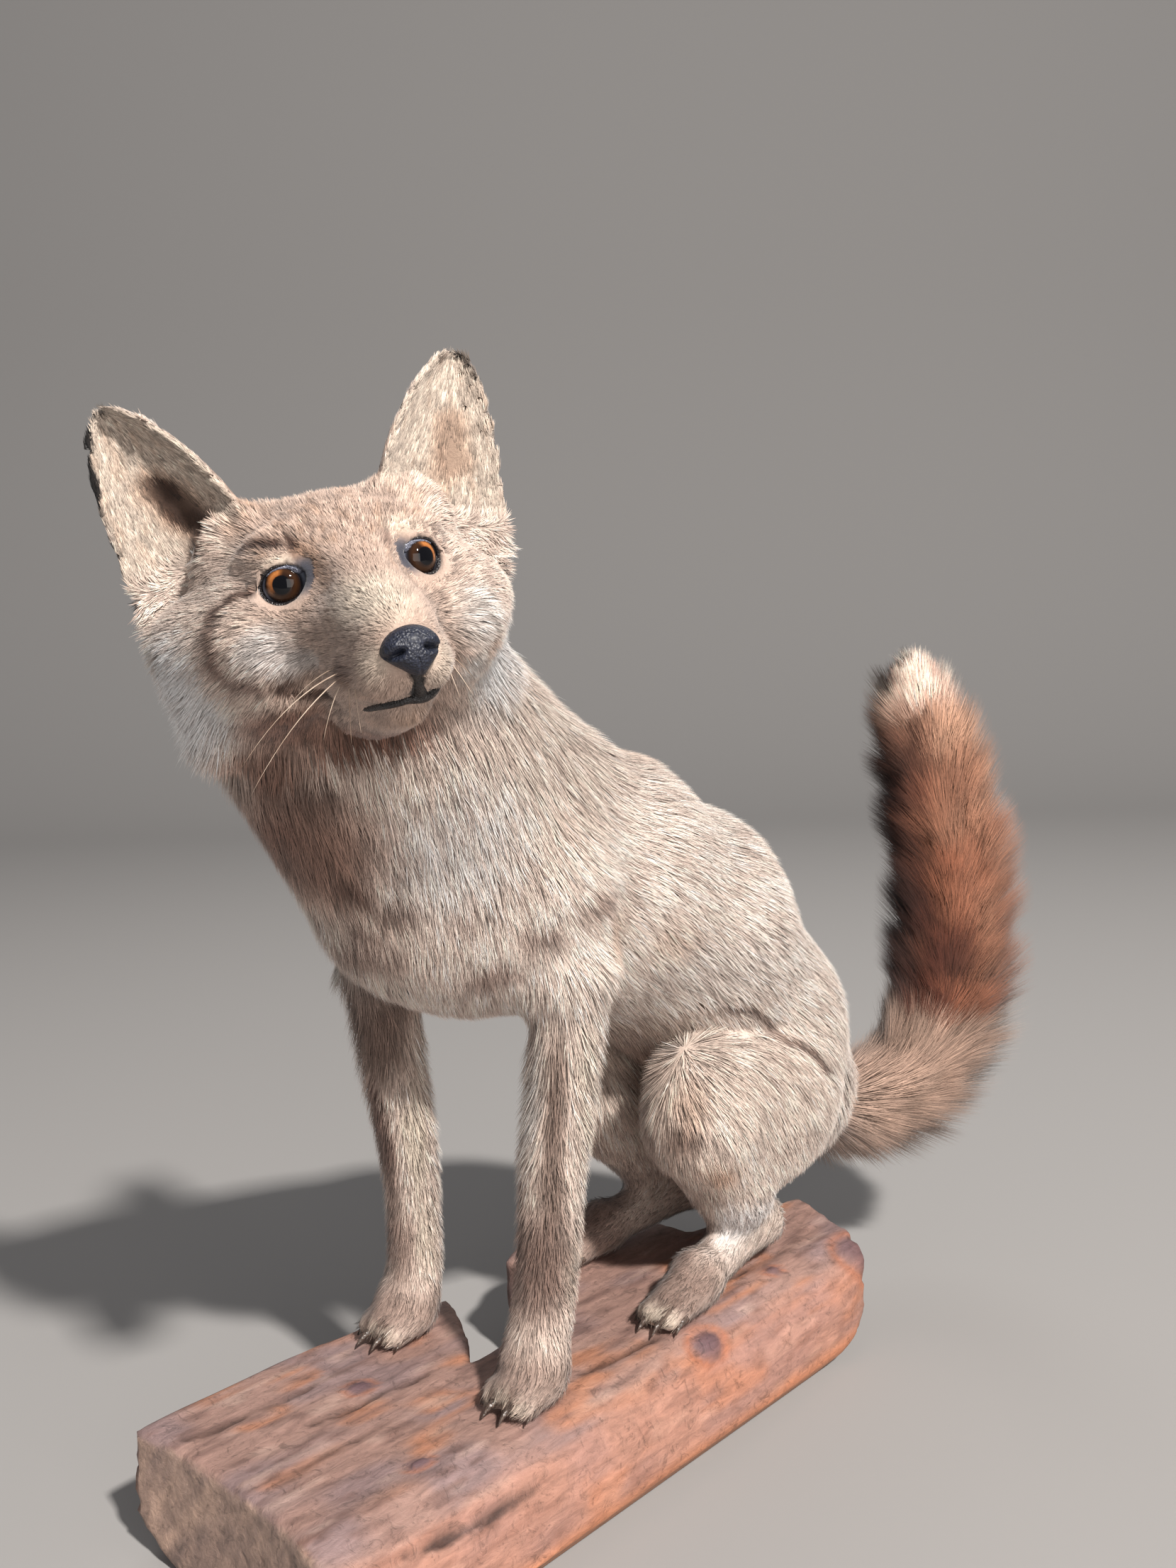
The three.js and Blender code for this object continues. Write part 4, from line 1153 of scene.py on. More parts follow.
# Where each region of the coat lies on the skin, and the axes that it is unwrapped round.
head_q = to_head(skin_points)
on_head = part_weight[HEAD_PART] > 0.5
on_ears = on_head & (ear_share(skin_points) > 0.5)
on_face = on_head & ~on_ears & (head_q[:, 1] < 34)
on_legs = part_weight[FORELEGS + HINDLEGS].sum(axis=0) > 0.5
on_thighs = on_legs & (part_weight[HINDLEGS].sum(axis=0) > 0.5) & (skin_points[:, 2] > 62)
on_tail = part_weight[TAIL_PART] > 0.5
in_brush = on_tail & (above_tail_root(skin_points) > BRUSH_FOOT)
on_body = ~on_head & ~on_legs & ~on_tail
on_neck = on_body & (part_weight[NECK_PART] > part_weight[TRUNK_PART])
on_chest = on_body & ~on_neck & (skin_points[:, 1] < 10)
behind_chest = on_body & ~on_neck & ~on_chest
facing_up = skin_normals[:, 2] > -0.05
HEAD_AXIS = (from_head((0, -80, -25)), from_head((0, 110, -5)))
SPINE_AXIS = ((0, -80, 240), (0, 220, 120))
NECK_AXIS = ((0, 0, 420), (0, -60, 230))
CHEST_AXIS = ((0, -40, 360), (0, -40, 150))
THIGH_AXIS = ((0, 120, 190), (0, 120, 40))
LEG_AXIS = ((0, 0, 230), (0, 0, 0))
TAIL_ROOT_AXIS = ((0, 215, 75), (70, 360, 130))
BRUSH_AXIS = ((64, 345, 100), (50, 340, 350))
# Each region is a piece: where, its axis, how many locks, their curl, and a clump's size.
REGIONS = {
    "hair_of_right_face": (on_face & (head_q[:, 0] < 0), HEAD_AXIS, 46000, 0.5, 3.4),
    "hair_of_left_face": (on_face & (head_q[:, 0] >= 0), HEAD_AXIS, 36000, 0.5, 3.4),
    "hair_of_ears": (on_ears, HEAD_AXIS, 26000, 0.2, 2.4),
    "hair_of_ruff": (on_head & ~on_ears & ~on_face, HEAD_AXIS, 28000, 0.6, 4.0),
    "hair_of_neck": (on_neck, NECK_AXIS, 36000, 0.6, 5.0),
    "hair_of_chest": (on_chest, CHEST_AXIS, 36000, 0.6, 5.0),
    "hair_of_back": (behind_chest & facing_up, SPINE_AXIS, 44000, 0.45, 5.0),
    "hair_of_belly": (behind_chest & ~facing_up, SPINE_AXIS, 15000, 0.5, 5.0),
    "hair_of_thighs": (on_thighs, THIGH_AXIS, 30000, 0.5, 5.0),
    "hair_of_legs": (on_legs & ~on_thighs, LEG_AXIS, 32000, 0.5, 4.0),
    "hair_of_tail_root": (on_tail & ~in_brush, TAIL_ROOT_AXIS, 20000, 0.9, 9.0),
    "hair_of_brush": (in_brush, BRUSH_AXIS, 46000, 1.5, 9.0),
}


def rooted(mask, many, generator):
    """Random places on the faces that a mask holds, thicker where the hair stands closer."""
    faces = skin_faces[mask[skin_faces].sum(axis=1) > 2]
    corners = np.concatenate([faces[:, [0, 1, 2]], faces[:, [0, 2, 3]]])
    a, b, c = (skin_points[corners[:, n]] for n in range(3))
    area = np.linalg.norm(np.cross(b - a, c - a), axis=1) / 2
    share = area * closeness[corners].mean(axis=1)
    chosen = generator.choice(len(corners), size=many, p=share / share.sum())
    u, v = generator.random((2, many))
    flip = u + v > 1
    u, v = np.where(flip, 1 - u, u), np.where(flip, 1 - v, v)
    return corners[chosen], np.stack([1 - u - v, u, v], axis=1)


def in_clumps(root, size, seed):
    """The middle of the clump that each root belongs to, and a random value of that clump.

    Clumps are the cells of a grid that is warped by a noise.
    """
    warp = np.stack([lattice_noise(root, size * 1.3, seed + n) for n in range(3)], axis=1) - 0.5
    warp = warp * size * 1.4
    cell = np.floor((root + warp) / size)
    value = random_cube(seed)[tuple((cell.astype(int) % NOISE_CELLS).T)]
    return (cell + 0.5) * size - warp, value


def square_to(v, direction, share=1):
    """Each vector less a share of its part that runs along a direction."""
    return v - direction * np.sum(v * direction, axis=1, keepdims=True) * share


SWIRL_SEEDS, CLUMP_SEED = (11, 12, 13), 61
CLUMP_DRAW = 0.48  # how far a tip is drawn towards the middle of its clump


def locks(root, normal, along, size, curl, clump, generator):
    """Points of the blades, a ring of three and a tip, and their shading normals.

    The tip is at root + along L + normal H + a sway across; the ring is two edges and a
    ridge. Neighbours turn together, by a smooth swirl of the curl's size, and the tips
    of a clump are drawn towards its middle.
    """
    length, half_width, lift = size
    many = len(root)
    across = unit(np.cross(normal, along))
    jitter = generator.normal(0, 1, (4, many))
    reach_of_swirl = 14 if curl > 1 else 9  # mm
    swirl = np.stack([lattice_noise(root, reach_of_swirl, seed) for seed in SWIRL_SEEDS]) - 0.5
    along = unit(along + across * (jitter[0] * 0.10 + swirl[0] * curl)[:, None])
    clump_middle, clump_value = in_clumps(root, clump, CLUMP_SEED)
    draw = square_to(square_to(clump_middle - root, normal), along, 0.7)
    length = length * np.clip(1 + jitter[1] * 0.14 + swirl[1] * 0.4 * curl, 0.5, 1.4)
    rise = 0.80 + jitter[2] * 0.09 + swirl[2] * 0.5 * curl + 0.4 * (clump_value - 0.5)
    lift = lift * np.clip(rise, 0.3, 1.12)
    sway = (jitter[3] * 0.05 - swirl[0] * 0.5 * curl) * length
    width = (half_width * generator.uniform(0.7, 1.25, many))[:, None]
    foot = root - normal * (lift * 0.05)[:, None]
    tip = root + along * (length * 0.96)[:, None] + normal * lift[:, None]
    tip = tip + across * sway[:, None] + draw * CLUMP_DRAW
    rows = [foot - across * width, foot + across * width, foot + normal * width * 0.42, tip]
    shading = [normal - across * 0.3, normal + across * 0.3, normal, normal + along * 0.15]
    return np.stack(rows, axis=1), unit(np.stack(shading, axis=1)), clump_value


# The faces of a lock, from its points: a cap at the root and three sides.
BLADE = np.array([(0, 2, 1), (0, 3, 2), (2, 3, 1), (1, 3, 0)])


def blade_colours(base, even, grizzle, clump_value, generator):
    """Root and tip of each lock: dark under-hair, its colour, and often a dark tip.

    Where the coat is short and even, as on the muzzle, the locks differ less.
    """
    many = len(base)
    uneven = 1 - 0.55 * even[:, None]
    brighter = generator.normal(0, 0.09, (many, 1)) + 0.32 * (clump_value[:, None] - 0.5)
    base = base * (1 + uneven * brighter)
    dark = (generator.random(many) < grizzle) * generator.uniform(0.15, 0.5, many)
    tip = blended(base * generator.uniform(1.0, 1.1, (many, 1)), DARK_BROWN, dark)
    root = base * (1 - 0.30 * uneven)
    return np.clip(np.stack([root] * 3 + [tip], axis=1), 0.01, 0.97)


PAST_ENDS = 0.4  # how far a region may reach past each end of its axis, by its length
MAP_EDGE = 0.01  # left free round the map


def unwrapped(p, axis):
    """Turn about a region's axis and way along it, both from 0 to 1."""
    start, end = np.array(axis, float)
    run = end - start
    reach = np.linalg.norm(run)
    run = run / reach
    side = unit(np.cross(run, (0.31, 0.2, 0.93) if abs(run[2]) < 0.8 else (0, 1.0, 0)))
    other = np.cross(run, side)
    away = p - start
    turn = np.arctan2(away @ other, away @ side) / (2 * np.pi) + 0.5
    way = np.clip((away @ run) / reach, -PAST_ENDS, 1 + PAST_ENDS)
    way = (way + PAST_ENDS) / (1 + 2 * PAST_ENDS)
    return np.stack([turn, way], axis=1) * (1 - 2 * MAP_EDGE) + MAP_EDGE


def blade_mesh(name, points, shading):
    """A mesh of all the blades, from an array of blades by points.

    Its shading follows the skin below more than each blade, as soft hair does.
    """
    many, each = points.shape[:2]
    faces = (BLADE[None] + np.arange(many)[:, None, None] * each).reshape(-1, 3)
    mesh = bpy.data.meshes.new(name)
    mesh.vertices.add(many * each)
    mesh.vertices.foreach_set("co", points.astype(np.float32).ravel())
    mesh.loops.add(faces.size)
    mesh.loops.foreach_set("vertex_index", faces.astype(np.int32).ravel())
    mesh.polygons.add(len(faces))
    mesh.polygons.foreach_set("loop_start", np.arange(0, faces.size, 3, dtype=np.int32))
    mesh.update(calc_edges=True)
    thing = bpy.data.objects.new(name, mesh)
    bpy.context.scene.collection.objects.link(thing)
    shaded_smooth(thing)
    mesh.normals_split_custom_set_from_vertices(shading.reshape(-1, 3))
    return thing, faces


# A patch of the map, 0.003 across, for each lock: its points about its root's place.
PATCH = np.array([(-1, -1), (1, -1), (0, -0.6), (0, 1)]) * 0.0015
LEAST_HEIGHT = 0.6  # of a tip over the log
FIRST_SEED = 100  # of the coat's regions
coat_material = hair_material("long_hair", 650.0, 0.75, 0.3)
bare = is_bare(skin_points).astype(float)
for seed, (name, (mask, axis, many, curl, clump)) in enumerate(REGIONS.items()):
    generator = np.random.default_rng(FIRST_SEED + seed)
    corners, weights = rooted(mask, many, generator)

    def at_root(values):
        """A value of the skin's points, read at each root."""
        return np.einsum("ij,ij...->i...", weights, values[corners])

    keep = at_root(bare) < 0.4
    corners, weights = corners[keep], weights[keep]
    root = at_root(skin_points)
    weight = np.stack([at_root(row) for row in part_weight])
    normal = unit(at_root(skin_normals))
    along = unit(square_to(at_root(stream), normal))
    size = (at_root(length), at_root(half_width), at_root(lift))
    points, shading, clump_value = locks(root, normal, along, size, curl, clump, generator)
    points[:, :, 2] = np.maximum(points[:, :, 2], LEAST_HEIGHT)
    thing, faces = blade_mesh(name, in_frame(points), shading)
    patchy = ramp(lattice_noise(root, 13, 21), 0.35, 0.75)
    grizzle = (0.10 + 0.26 * patchy) * (1 - 0.5 * weight[HEAD_PART] - 0.6 * weight[TAIL_PART])
    even = weight[HEAD_PART] * ramp(-to_head(root)[:, 1], 12, 36)
    colours = blade_colours(hair_colour(root, normal, weight), even, grizzle, clump_value, generator)
    paint(thing, "hair", linear(colours.reshape(-1, 3)))
    places = (unwrapped(root, axis)[:, None] + PATCH).reshape(-1, 2)
    bake_map = thing.data.uv_layers.new(name="OFBake")
    bake_map.data.foreach_set("uv", places[faces.ravel()].astype(np.float32).ravel())
    thing.data.materials.append(coat_material)
    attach(thing, "root")

# ---- The glass eyes --------------------------------------------------------------
# Two glass eyes, set in the lids by the taxidermist: a clear bulging front over an
# amber iris with a round black pupil, on a grey-blue ball.


CORNEA_BULGE, CORNEA_REACH = 0.7, 0.55  # mm, and radians off the gaze


def glass_points(theta, phi):
    """A ball about its gaze: r = R + b exp(-(theta / t)^4), at theta off the gaze."""
    r = EYE_RADIUS + CORNEA_BULGE * np.exp(-(theta / CORNEA_REACH) ** 4)
    across = r * np.sin(theta)
    return np.stack([across * np.cos(phi), across * np.sin(phi), r * np.cos(theta)], axis=-1)


def closed_rings(rows, columns):
    """Faces of a surface of rings with one point at each end, wound outwards."""
    i, j = np.meshgrid(np.arange(rows - 1), np.arange(columns), indexing="ij")
    after = (j + 1) % columns
    here = 1 + i * columns
    below = here + columns
    sides = np.stack([here + j, below + j, below + after, here + after], axis=-1).reshape(-1, 4)
    j = np.arange(columns)
    last = 1 + (rows - 1) * columns
    start_cap = np.stack([np.zeros_like(j), 1 + j, 1 + (j + 1) % columns], axis=1)
    end_cap = np.stack([np.full_like(j, last + columns), last + (j + 1) % columns, last + j], axis=1)
    return start_cap.tolist() + sides.tolist() + end_cap.tolist()


def colour_stops(material, stops):
    """A colour ramp with the given (place, colour) stops."""
    ramp_node = node(material, "ShaderNodeValToRGB")
    elements = ramp_node.color_ramp.elements
    while len(elements) < len(stops):
        elements.new(0.5)
    for element, (place, colour) in zip(elements, stops):
        element.position = place
        element.color = (*colour, 1.0)
    return ramp_node


PUPIL, IRIS_EDGE, IRIS_RIM = (0.002, 0.002, 0.003), (0.010, 0.008, 0.009), (0.03, 0.03, 0.04)
BALL_GREY = (0.20, 0.22, 0.28)


def iris_stops(material, inner, middle, outer):
    """The painted rings from the pupil out to the ball, by the way off the gaze, over pi."""
    return colour_stops(material, [
        (0.0, PUPIL), (0.100, PUPIL), (0.112, inner), middle, outer,
        (0.224, IRIS_EDGE), (0.245, IRIS_RIM), (0.285, BALL_GREY)])


def glass_eye_material():
    """Painted glass: the way off the gaze picks pupil, iris, its dark edge or the ball.

    The iris is dark brown and glows orange where light passes through it, low and out.
    """
    material = plain_material("glass_eye", (0.3, 0.12, 0.03), 0.05)
    shader = material.node_tree.nodes["Principled BSDF"]
    shader.inputs["Specular IOR Level"].default_value = 0.35
    parts = node(material, "ShaderNodeSeparateColor")
    link(material, stored_colour(material, "off_gaze"), parts.inputs["Color"])
    dim = iris_stops(material, (0.016, 0.007, 0.004), (0.165, (0.034, 0.014, 0.006)),
                     (0.212, (0.014, 0.007, 0.005)))
    glowing = iris_stops(material, (0.30, 0.10, 0.025), (0.150, (0.42, 0.155, 0.042)),
                         (0.200, (0.13, 0.045, 0.013)))
    for stops in (dim, glowing):
        link(material, parts.outputs["Red"], stops.inputs["Fac"])
    mix = node(material, "ShaderNodeMix")
    mix.data_type = "RGBA"
    share, first, second = mix.inputs[0], mix.inputs[6], mix.inputs[7]
    link(material, parts.outputs["Green"], share)
    link(material, dim.outputs["Color"], first)
    link(material, glowing.outputs["Color"], second)
    link(material, mix.outputs[2], shader.inputs["Base Color"])
    return material


def place_on_face(local, side):
    """Places about the left eye's axes, in the frame, on that side of the head."""
    return in_frame(from_head((local @ EYE + EYE_PLACE) * (side, 1, 1)))


def turned_out(faces, side):
    """Faces wound to point outwards on both sides of the mirrored head."""
    return faces if side < 0 else [face[::-1] for face in faces]


eye_glass = glass_eye_material()
EYE_ROWS, EYE_COLUMNS = 48, 72
GLOW_DIRECTION = (0.72, -0.69)  # outwards and down, over the eye's own axes
theta = np.linspace(0, np.pi, EYE_ROWS + 2)[1:-1]
turn, tilt = np.meshgrid(np.arange(EYE_COLUMNS) * 2 * np.pi / EYE_COLUMNS, theta)
poles = glass_points(np.array([0, np.pi]), np.zeros(2))
glass = np.concatenate([poles[:1], glass_points(tilt, turn).reshape(-1, 3), poles[1:]])
off_gaze = np.concatenate([[0], tilt.ravel(), [np.pi]]) / np.pi
spoke = unit(glass[:, :2])
streaks = lattice_noise(np.column_stack([spoke * 9, off_gaze * 12]), 1.0, 51)
glow = np.clip(ramp(spoke @ GLOW_DIRECTION, 0.2, 0.95) * (0.6 + 0.8 * streaks), 0, 1)
for side, name in ((1, "left"), (-1, "right")):
    faces = turned_out(closed_rings(EYE_ROWS, EYE_COLUMNS), side)
    eye = add_mesh("glass_eye_" + name, place_on_face(glass, side), faces)
    shaded_smooth(eye)
    paint(eye, "off_gaze", np.column_stack([off_gaze, glow, streaks]))
    eye.data.materials.append(eye_glass)
    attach(eye, "root")
    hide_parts("eye_" + name)

# ---- The rims of the lids --------------------------------------------------------
# The bare black edge of each lid, a soft cord of modelled skin on the glass, thicker
# above, and the small blue-grey swelling at the inner corner.


def swept(path, radii, around, sides=8, closed=False):
    """A tube on a path: rings of the given radii, square to it, the first side facing around."""
    step = np.roll(path, -1, axis=0) - np.roll(path, 1, axis=0) if closed else np.gradient(path, axis=0)
    ahead = unit(step)
    side = unit(square_to(around, ahead))
    other = np.cross(ahead, side)
    turn = np.arange(sides) * 2 * np.pi / sides
    ring = side[:, None] * np.cos(turn)[:, None] + other[:, None] * np.sin(turn)[:, None]
    points = path[:, None] + ring * np.asarray(radii)[:, None, None]
    rows = len(path)
    i, j = np.meshgrid(np.arange(rows if closed else rows - 1), np.arange(sides), indexing="ij")
    after = (j + 1) % sides
    here = i * sides
    further = (i + 1) % rows * sides
    faces = np.stack([here + j, here + after, further + after, further + j], axis=-1)
    faces = faces.reshape(-1, 4).tolist()
    if not closed:
        faces += [list(range(sides))[::-1], [(rows - 1) * sides + n for n in range(sides)]]
    return points.reshape(-1, 3), faces


def wet_skin(name, colour, roughness, grain):
    """Bare moist skin or horn: a deep colour with a fine leathery relief and a clear gloss."""
    material = plain_material(name, colour, roughness)
    shader = material.node_tree.nodes["Principled BSDF"]
    shader.inputs["Coat Weight"].default_value = 0.06
    shader.inputs["Coat Roughness"].default_value = 0.25
    place = node(material, "ShaderNodeTexCoord")
    cells = node(material, "ShaderNodeTexVoronoi", Scale=grain)
    link(material, place.outputs["Object"], cells.inputs["Vector"])
    in_relief(material, cells.outputs["Distance"], 0.9, 0.0005)
    darker, lighter = (tuple(share * c for c in colour) for share in (0.6, 1.6))
    tone = colour_stops(material, [(0.0, darker), (0.8, lighter)])
    link(material, cells.outputs["Distance"], tone.inputs["Fac"])
    link(material, tone.outputs["Color"], shader.inputs["Base Color"])
    return material


rim_material = wet_skin("lid_rims", (0.010, 0.008, 0.009), 0.35, 1500.0)
corner_material = wet_skin("eye_corners", (0.12, 0.125, 0.16), 0.25, 1200.0)
RIM_STEPS = 72


def on_glass(along, above, over):
    """Points over the glass ball, at their places along and above the slit of the lids."""
    out = np.sqrt(np.maximum((EYE_RADIUS + over) ** 2 - along ** 2 - above ** 2, 4))
    return np.column_stack([along, above, out])


def sunk_in_skin(q, sunk):
    """Head points moved along the slope of the head's surface, to lie sunk mm below it."""
    q = np.array(q, float)
    for _ in range(8):
        here = head_skin(from_head(q))
        slope = np.stack([head_skin(from_head(q + 0.2 * step)) - here for step in np.eye(3)], axis=1) / 0.2
        q = q - slope * ((here + sunk) / np.maximum(np.sum(slope ** 2, axis=1), 0.2))[:, None]
    return q


def lid_rim():
    """A cord round the opening of the lids, thicker above and at the outer corner."""
    turn = np.arange(RIM_STEPS) * 2 * np.pi / RIM_STEPS
    along = np.where(np.cos(turn) > 0, SLIT_OUT, SLIT_IN) * np.cos(turn)
    above = lid_height(along) * np.where(np.sin(turn) > 0, LID_UP, -LID_DOWN)
    outer = np.exp(-((turn + np.pi) % (2 * np.pi) - np.pi) ** 2 / 0.1)
    radii = 0.5 + 0.75 * np.sqrt(np.clip(np.sin(turn), 0, 1)) + 0.6 * outer
    path = on_glass(along, above, 1.1)
    return swept(path, radii, unit(path), closed=True)


def eye_point(side):
    """The black point of skin that runs out from the outer corner, along the face."""
    t = np.linspace(0, 1, 12)
    tear = EYE_PLACE + np.column_stack([9.2 + 5.5 * t, 0.3 + 0.6 * t, 6.0 - 3 * t]) @ EYE
    path = (sunk_in_skin(tear * (side, 1, 1), -0.7) * (side, 1, 1) - EYE_PLACE) @ EYE.T
    return swept(path, 0.3 + 1.7 * np.sin(np.pi * (0.15 + 0.85 * t)), unit(path))


def eye_corner():
    """The moist edge of the lower lid, which swells at the inner corner."""
    along = np.linspace(-SLIT_IN + 1.6, 5.0, 24)
    above = -lid_height(along) * LID_DOWN + 0.9
    from_corner = along + SLIT_IN
    radii = 0.35 + 1.75 * np.exp(-((from_corner - 3.2) / 2.6) ** 2) + 0.35 * ramp(-along, -5, 4)
    radii = radii * np.sqrt(np.clip((from_corner - 1.5) / 1.2, 0.02, 1))
    path = on_glass(along, above, 0.25)
    return swept(path, radii, unit(path))


for side, name in ((1, "left"), (-1, "right")):
    for what, (points, faces), material in (("lid_rim_", lid_rim(), rim_material),
                                            ("eye_point_", eye_point(side), rim_material),
                                            ("eye_corner_", eye_corner(), corner_material)):
        edge = add_mesh(what + name, place_on_face(points, side), turned_out(faces, side))
        shaded_smooth(edge)
        edge.data.materials.append(material)
        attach(edge, "root")

# ---- The nose --------------------------------------------------------------------
# The dried, blackened nose pad: broad and domed above, drawn in to a point over the
# lip, with a comma-shaped nostril on each side and a groove down its middle.


def nose_points(tilt, spin):
    """A blunt ball drawn in below: x (0.5 + 0.5 s), s = ramp(z), less nostrils and a groove.

    Each hollow or swelling is a share of the radius times exp(-k^2), at its place (a, b)
    across and up the front of the pad.
    """
    x, z = np.sin(tilt) * np.cos(spin), np.sin(tilt) * np.sin(spin)
    y = -np.cos(tilt)
    waist = 0.5 + 0.5 * ramp(z, -1.0, 0.15)
    blunt = np.sign(y) * np.abs(y) ** 0.75
    a, b = np.abs(x * waist), z
    hole = np.exp(-((a - 0.57) / 0.2) ** 2 - ((b - 0.06 + 0.4 * (a - 0.56)) / 0.14) ** 2)
    slit = np.exp(-((a - 0.8) / 0.16) ** 2 - ((b + 0.02 + 0.2 * (a - 0.8)) / 0.08) ** 2)
    wing = np.exp(-((a - 0.62) / 0.22) ** 2 - ((b - 0.34) / 0.16) ** 2)
    curl = np.exp(-((a - 0.52) / 0.16) ** 2 - ((b + 0.2) / 0.09) ** 2)
    groove = np.exp(-(a / 0.06) ** 2) * ramp(-b, -0.05, 0.3)
    sink = (0.40 * hole + 0.3 * slit + 0.04 * groove - 0.07 * wing - 0.05 * curl) * (y < 0)
    q = np.stack([x * waist + 0.12 * np.maximum(-z, 0), blunt, z * 0.96 - 0.04], axis=-1)
    return (q * (1 - sink)[..., None]) * NOSE_SIZE + NOSE_MIDDLE


NOSE_ROWS, NOSE_COLUMNS = 70, 96
tilt, spin = np.meshgrid(np.linspace(0, np.pi, NOSE_ROWS + 2)[1:-1],
                         np.arange(NOSE_COLUMNS) * 2 * np.pi / NOSE_COLUMNS, indexing="ij")
front, rear = nose_points(np.array([1e-4, np.pi - 1e-4]), np.zeros(2))
points = np.concatenate([[front], nose_points(tilt, spin).reshape(-1, 3), [rear]])
nose = add_mesh("nose_pad", in_frame(from_head(points)), closed_rings(NOSE_ROWS, NOSE_COLUMNS))
shaded_smooth(nose)
nose.data.materials.append(wet_skin("nose_leather", (0.009, 0.011, 0.021), 0.50, 1000.0))
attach(nose, "root")
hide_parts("nose")

# ---- The lips --------------------------------------------------------------------
# The bare black edge of the lips, drawn from below the nose back along each side, and
# the short black seam that joins it to the nose.
lip_material = wet_skin("lips", (0.011, 0.009, 0.009), 0.42, 1100.0)
# Places on the head and radii. Each is then laid on the skin, sunk by its own depth.
LIPS = [(-15, -36, -51.5, 0.6), (-13.4, -42, -51, 1.3), (-9, -55.5, -48.7, 1.7),
        (-3.4, -60.8, -48, 1.8), (0.9, -60.8, -48.0, 2.1), (5.6, -59.3, -47.4, 2.6),
        (9.5, -57, -46.4, 2.2), (13.5, -53, -45, 0.9), (16.5, -48.5, -42.5, 0.5)]
SEAM = [(1.5, -70, -37, 2.4), (2, -69.5, -41, 2.0), (2.8, -65.6, -44.5, 2.6), (3.6, -61.5, -47.0, 3.4)]
for name, rows, sunk, around in (("lip_line", LIPS, 0.1, (0.0, 0.0, 1.0)),
                                 ("lip_seam", SEAM, 1.2, (1.0, 0.0, 0.0))):
    rows = stations(rows, 6)
    points, faces = swept(sunk_in_skin(rows[:, :3], sunk), rows[:, 3], np.array([around]), sides=10)
    lip = add_mesh(name, in_frame(from_head(points)), faces)
    shaded_smooth(lip)
    lip.data.materials.append(lip_material)
    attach(lip, "root")

# ---- The whiskers ----------------------------------------------------------------
# The few stiff hairs left, each rooted in its whisker pad: two long ones that droop on
# the right, and short broken ones below them and on the left side.
WHISKERS = [  # root in head coordinates, run to the tip, and how far the middle bows up
    ((-21.8, -46.8, -33), (-44.6, 12.1, -28.9), 5), ((-22, -45, -35), (-43, 10.5, -38.3), 4),
    ((-20.5, -49, -36), (-4.6, -1.1, -24.6), 1), ((-19, -52, -38), (-2, -3, -19), 1),
    ((-21.5, -44, -37), (-12, 3, -21), 2), ((-22.5, -42, -31), (-20, 16, -12), 2),
    ((20, -48, -37), (6.6, -3.6, -16.6), 1), ((21, -44, -35), (9, 1, -12), 1),
    ((19, -51, -39), (2, -2, -14), 0.5),
]
WHISKER_THICK, WHISKER_FINE = 0.30, 0.06  # radius at the root and at the tip


def whisker(root, run, bow):
    """A bristle from its root on the skin: root + t run, with its middle bowed up as 4 t (1 - t)."""
    t = np.linspace(0, 1, 12)[:, None]
    path = sunk_in_skin([root], 0.6) + np.array(run) * t + np.array([0, 0, bow]) * 4 * t * (1 - t)
    radii = np.linspace(WHISKER_THICK, WHISKER_FINE, len(path))
    return swept(path, radii, np.array([(0.1, 1.0, 0.2)]), sides=5)


def together(tubes):
    """The points and faces of several tubes as those of one mesh."""
    points, faces, start = [], [], 0
    for tube_points, tube_faces in tubes:
        points.append(tube_points)
        faces += [[n + start for n in face] for face in tube_faces]
        start += len(tube_points)
    return np.concatenate(points), faces


points, faces = together(whisker(*row) for row in WHISKERS)
whiskers = add_mesh("whiskers", in_frame(from_head(points)), faces)
shaded_smooth(whiskers)
bristle = plain_material("bristle", (0.72, 0.58, 0.46), 0.35)
shader = bristle.node_tree.nodes["Principled BSDF"]
place = node(bristle, "ShaderNodeTexCoord")
tone = node(bristle, "ShaderNodeTexNoise", Scale=60.0, Detail=2.0)
stops = colour_stops(bristle, [(0.3, (0.30, 0.20, 0.14)), (0.7, (0.62, 0.50, 0.40))])
link(bristle, place.outputs["Object"], tone.inputs["Vector"])
link(bristle, tone.outputs["Fac"], stops.inputs["Fac"])
link(bristle, stops.outputs["Color"], shader.inputs["Base Color"])
whiskers.data.materials.append(bristle)
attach(whiskers, "root")

# ---- The claws -------------------------------------------------------------------
# Short, blunt, dark claws of horn, each a hooked tube rooted in the front of its toe, so
# that only the tip shows between the hairs.
CLAW_TOES = []  # root in the fox's coordinates, and how the claw splays for each mm forward
SPLAY = 0.012
for x, y in ((48, -87), (-60, -75)):
    for dx, dy in ((-14, 3), (-5, -6), (5, -6), (14, 3)):
        CLAW_TOES.append((x + dx, y + dy, 7.5, dx * SPLAY))
for side in (1, -1):
    for dx, dy in ((-13, 4), (-4.5, -5), (4.5, -5), (13, 4)):
        CLAW_TOES.append((side * (49 + dx), 31 + HIND_SHIFT[side] + dy, 7, side * dx * SPLAY))
CLAW_LENGTH, CLAW_DROP, CLAW_RADIUS, CLAW_TIP = 11, 5.2, 2.1, 0.25


def claw(x, y, z, splay):
    """A hooked, tapering horn: it drops as t^2 while it runs forward, and thins as 1 - t^1.6."""
    t = np.linspace(0, 1, 9)
    forward = CLAW_LENGTH * t
    path = np.column_stack([x + splay * forward, y + 3 - forward, z - CLAW_DROP * t ** 2])
    return swept(path, CLAW_RADIUS * (1 - t ** 1.6) + CLAW_TIP, np.array([(1.0, 0.0, 0.0)]), sides=10)


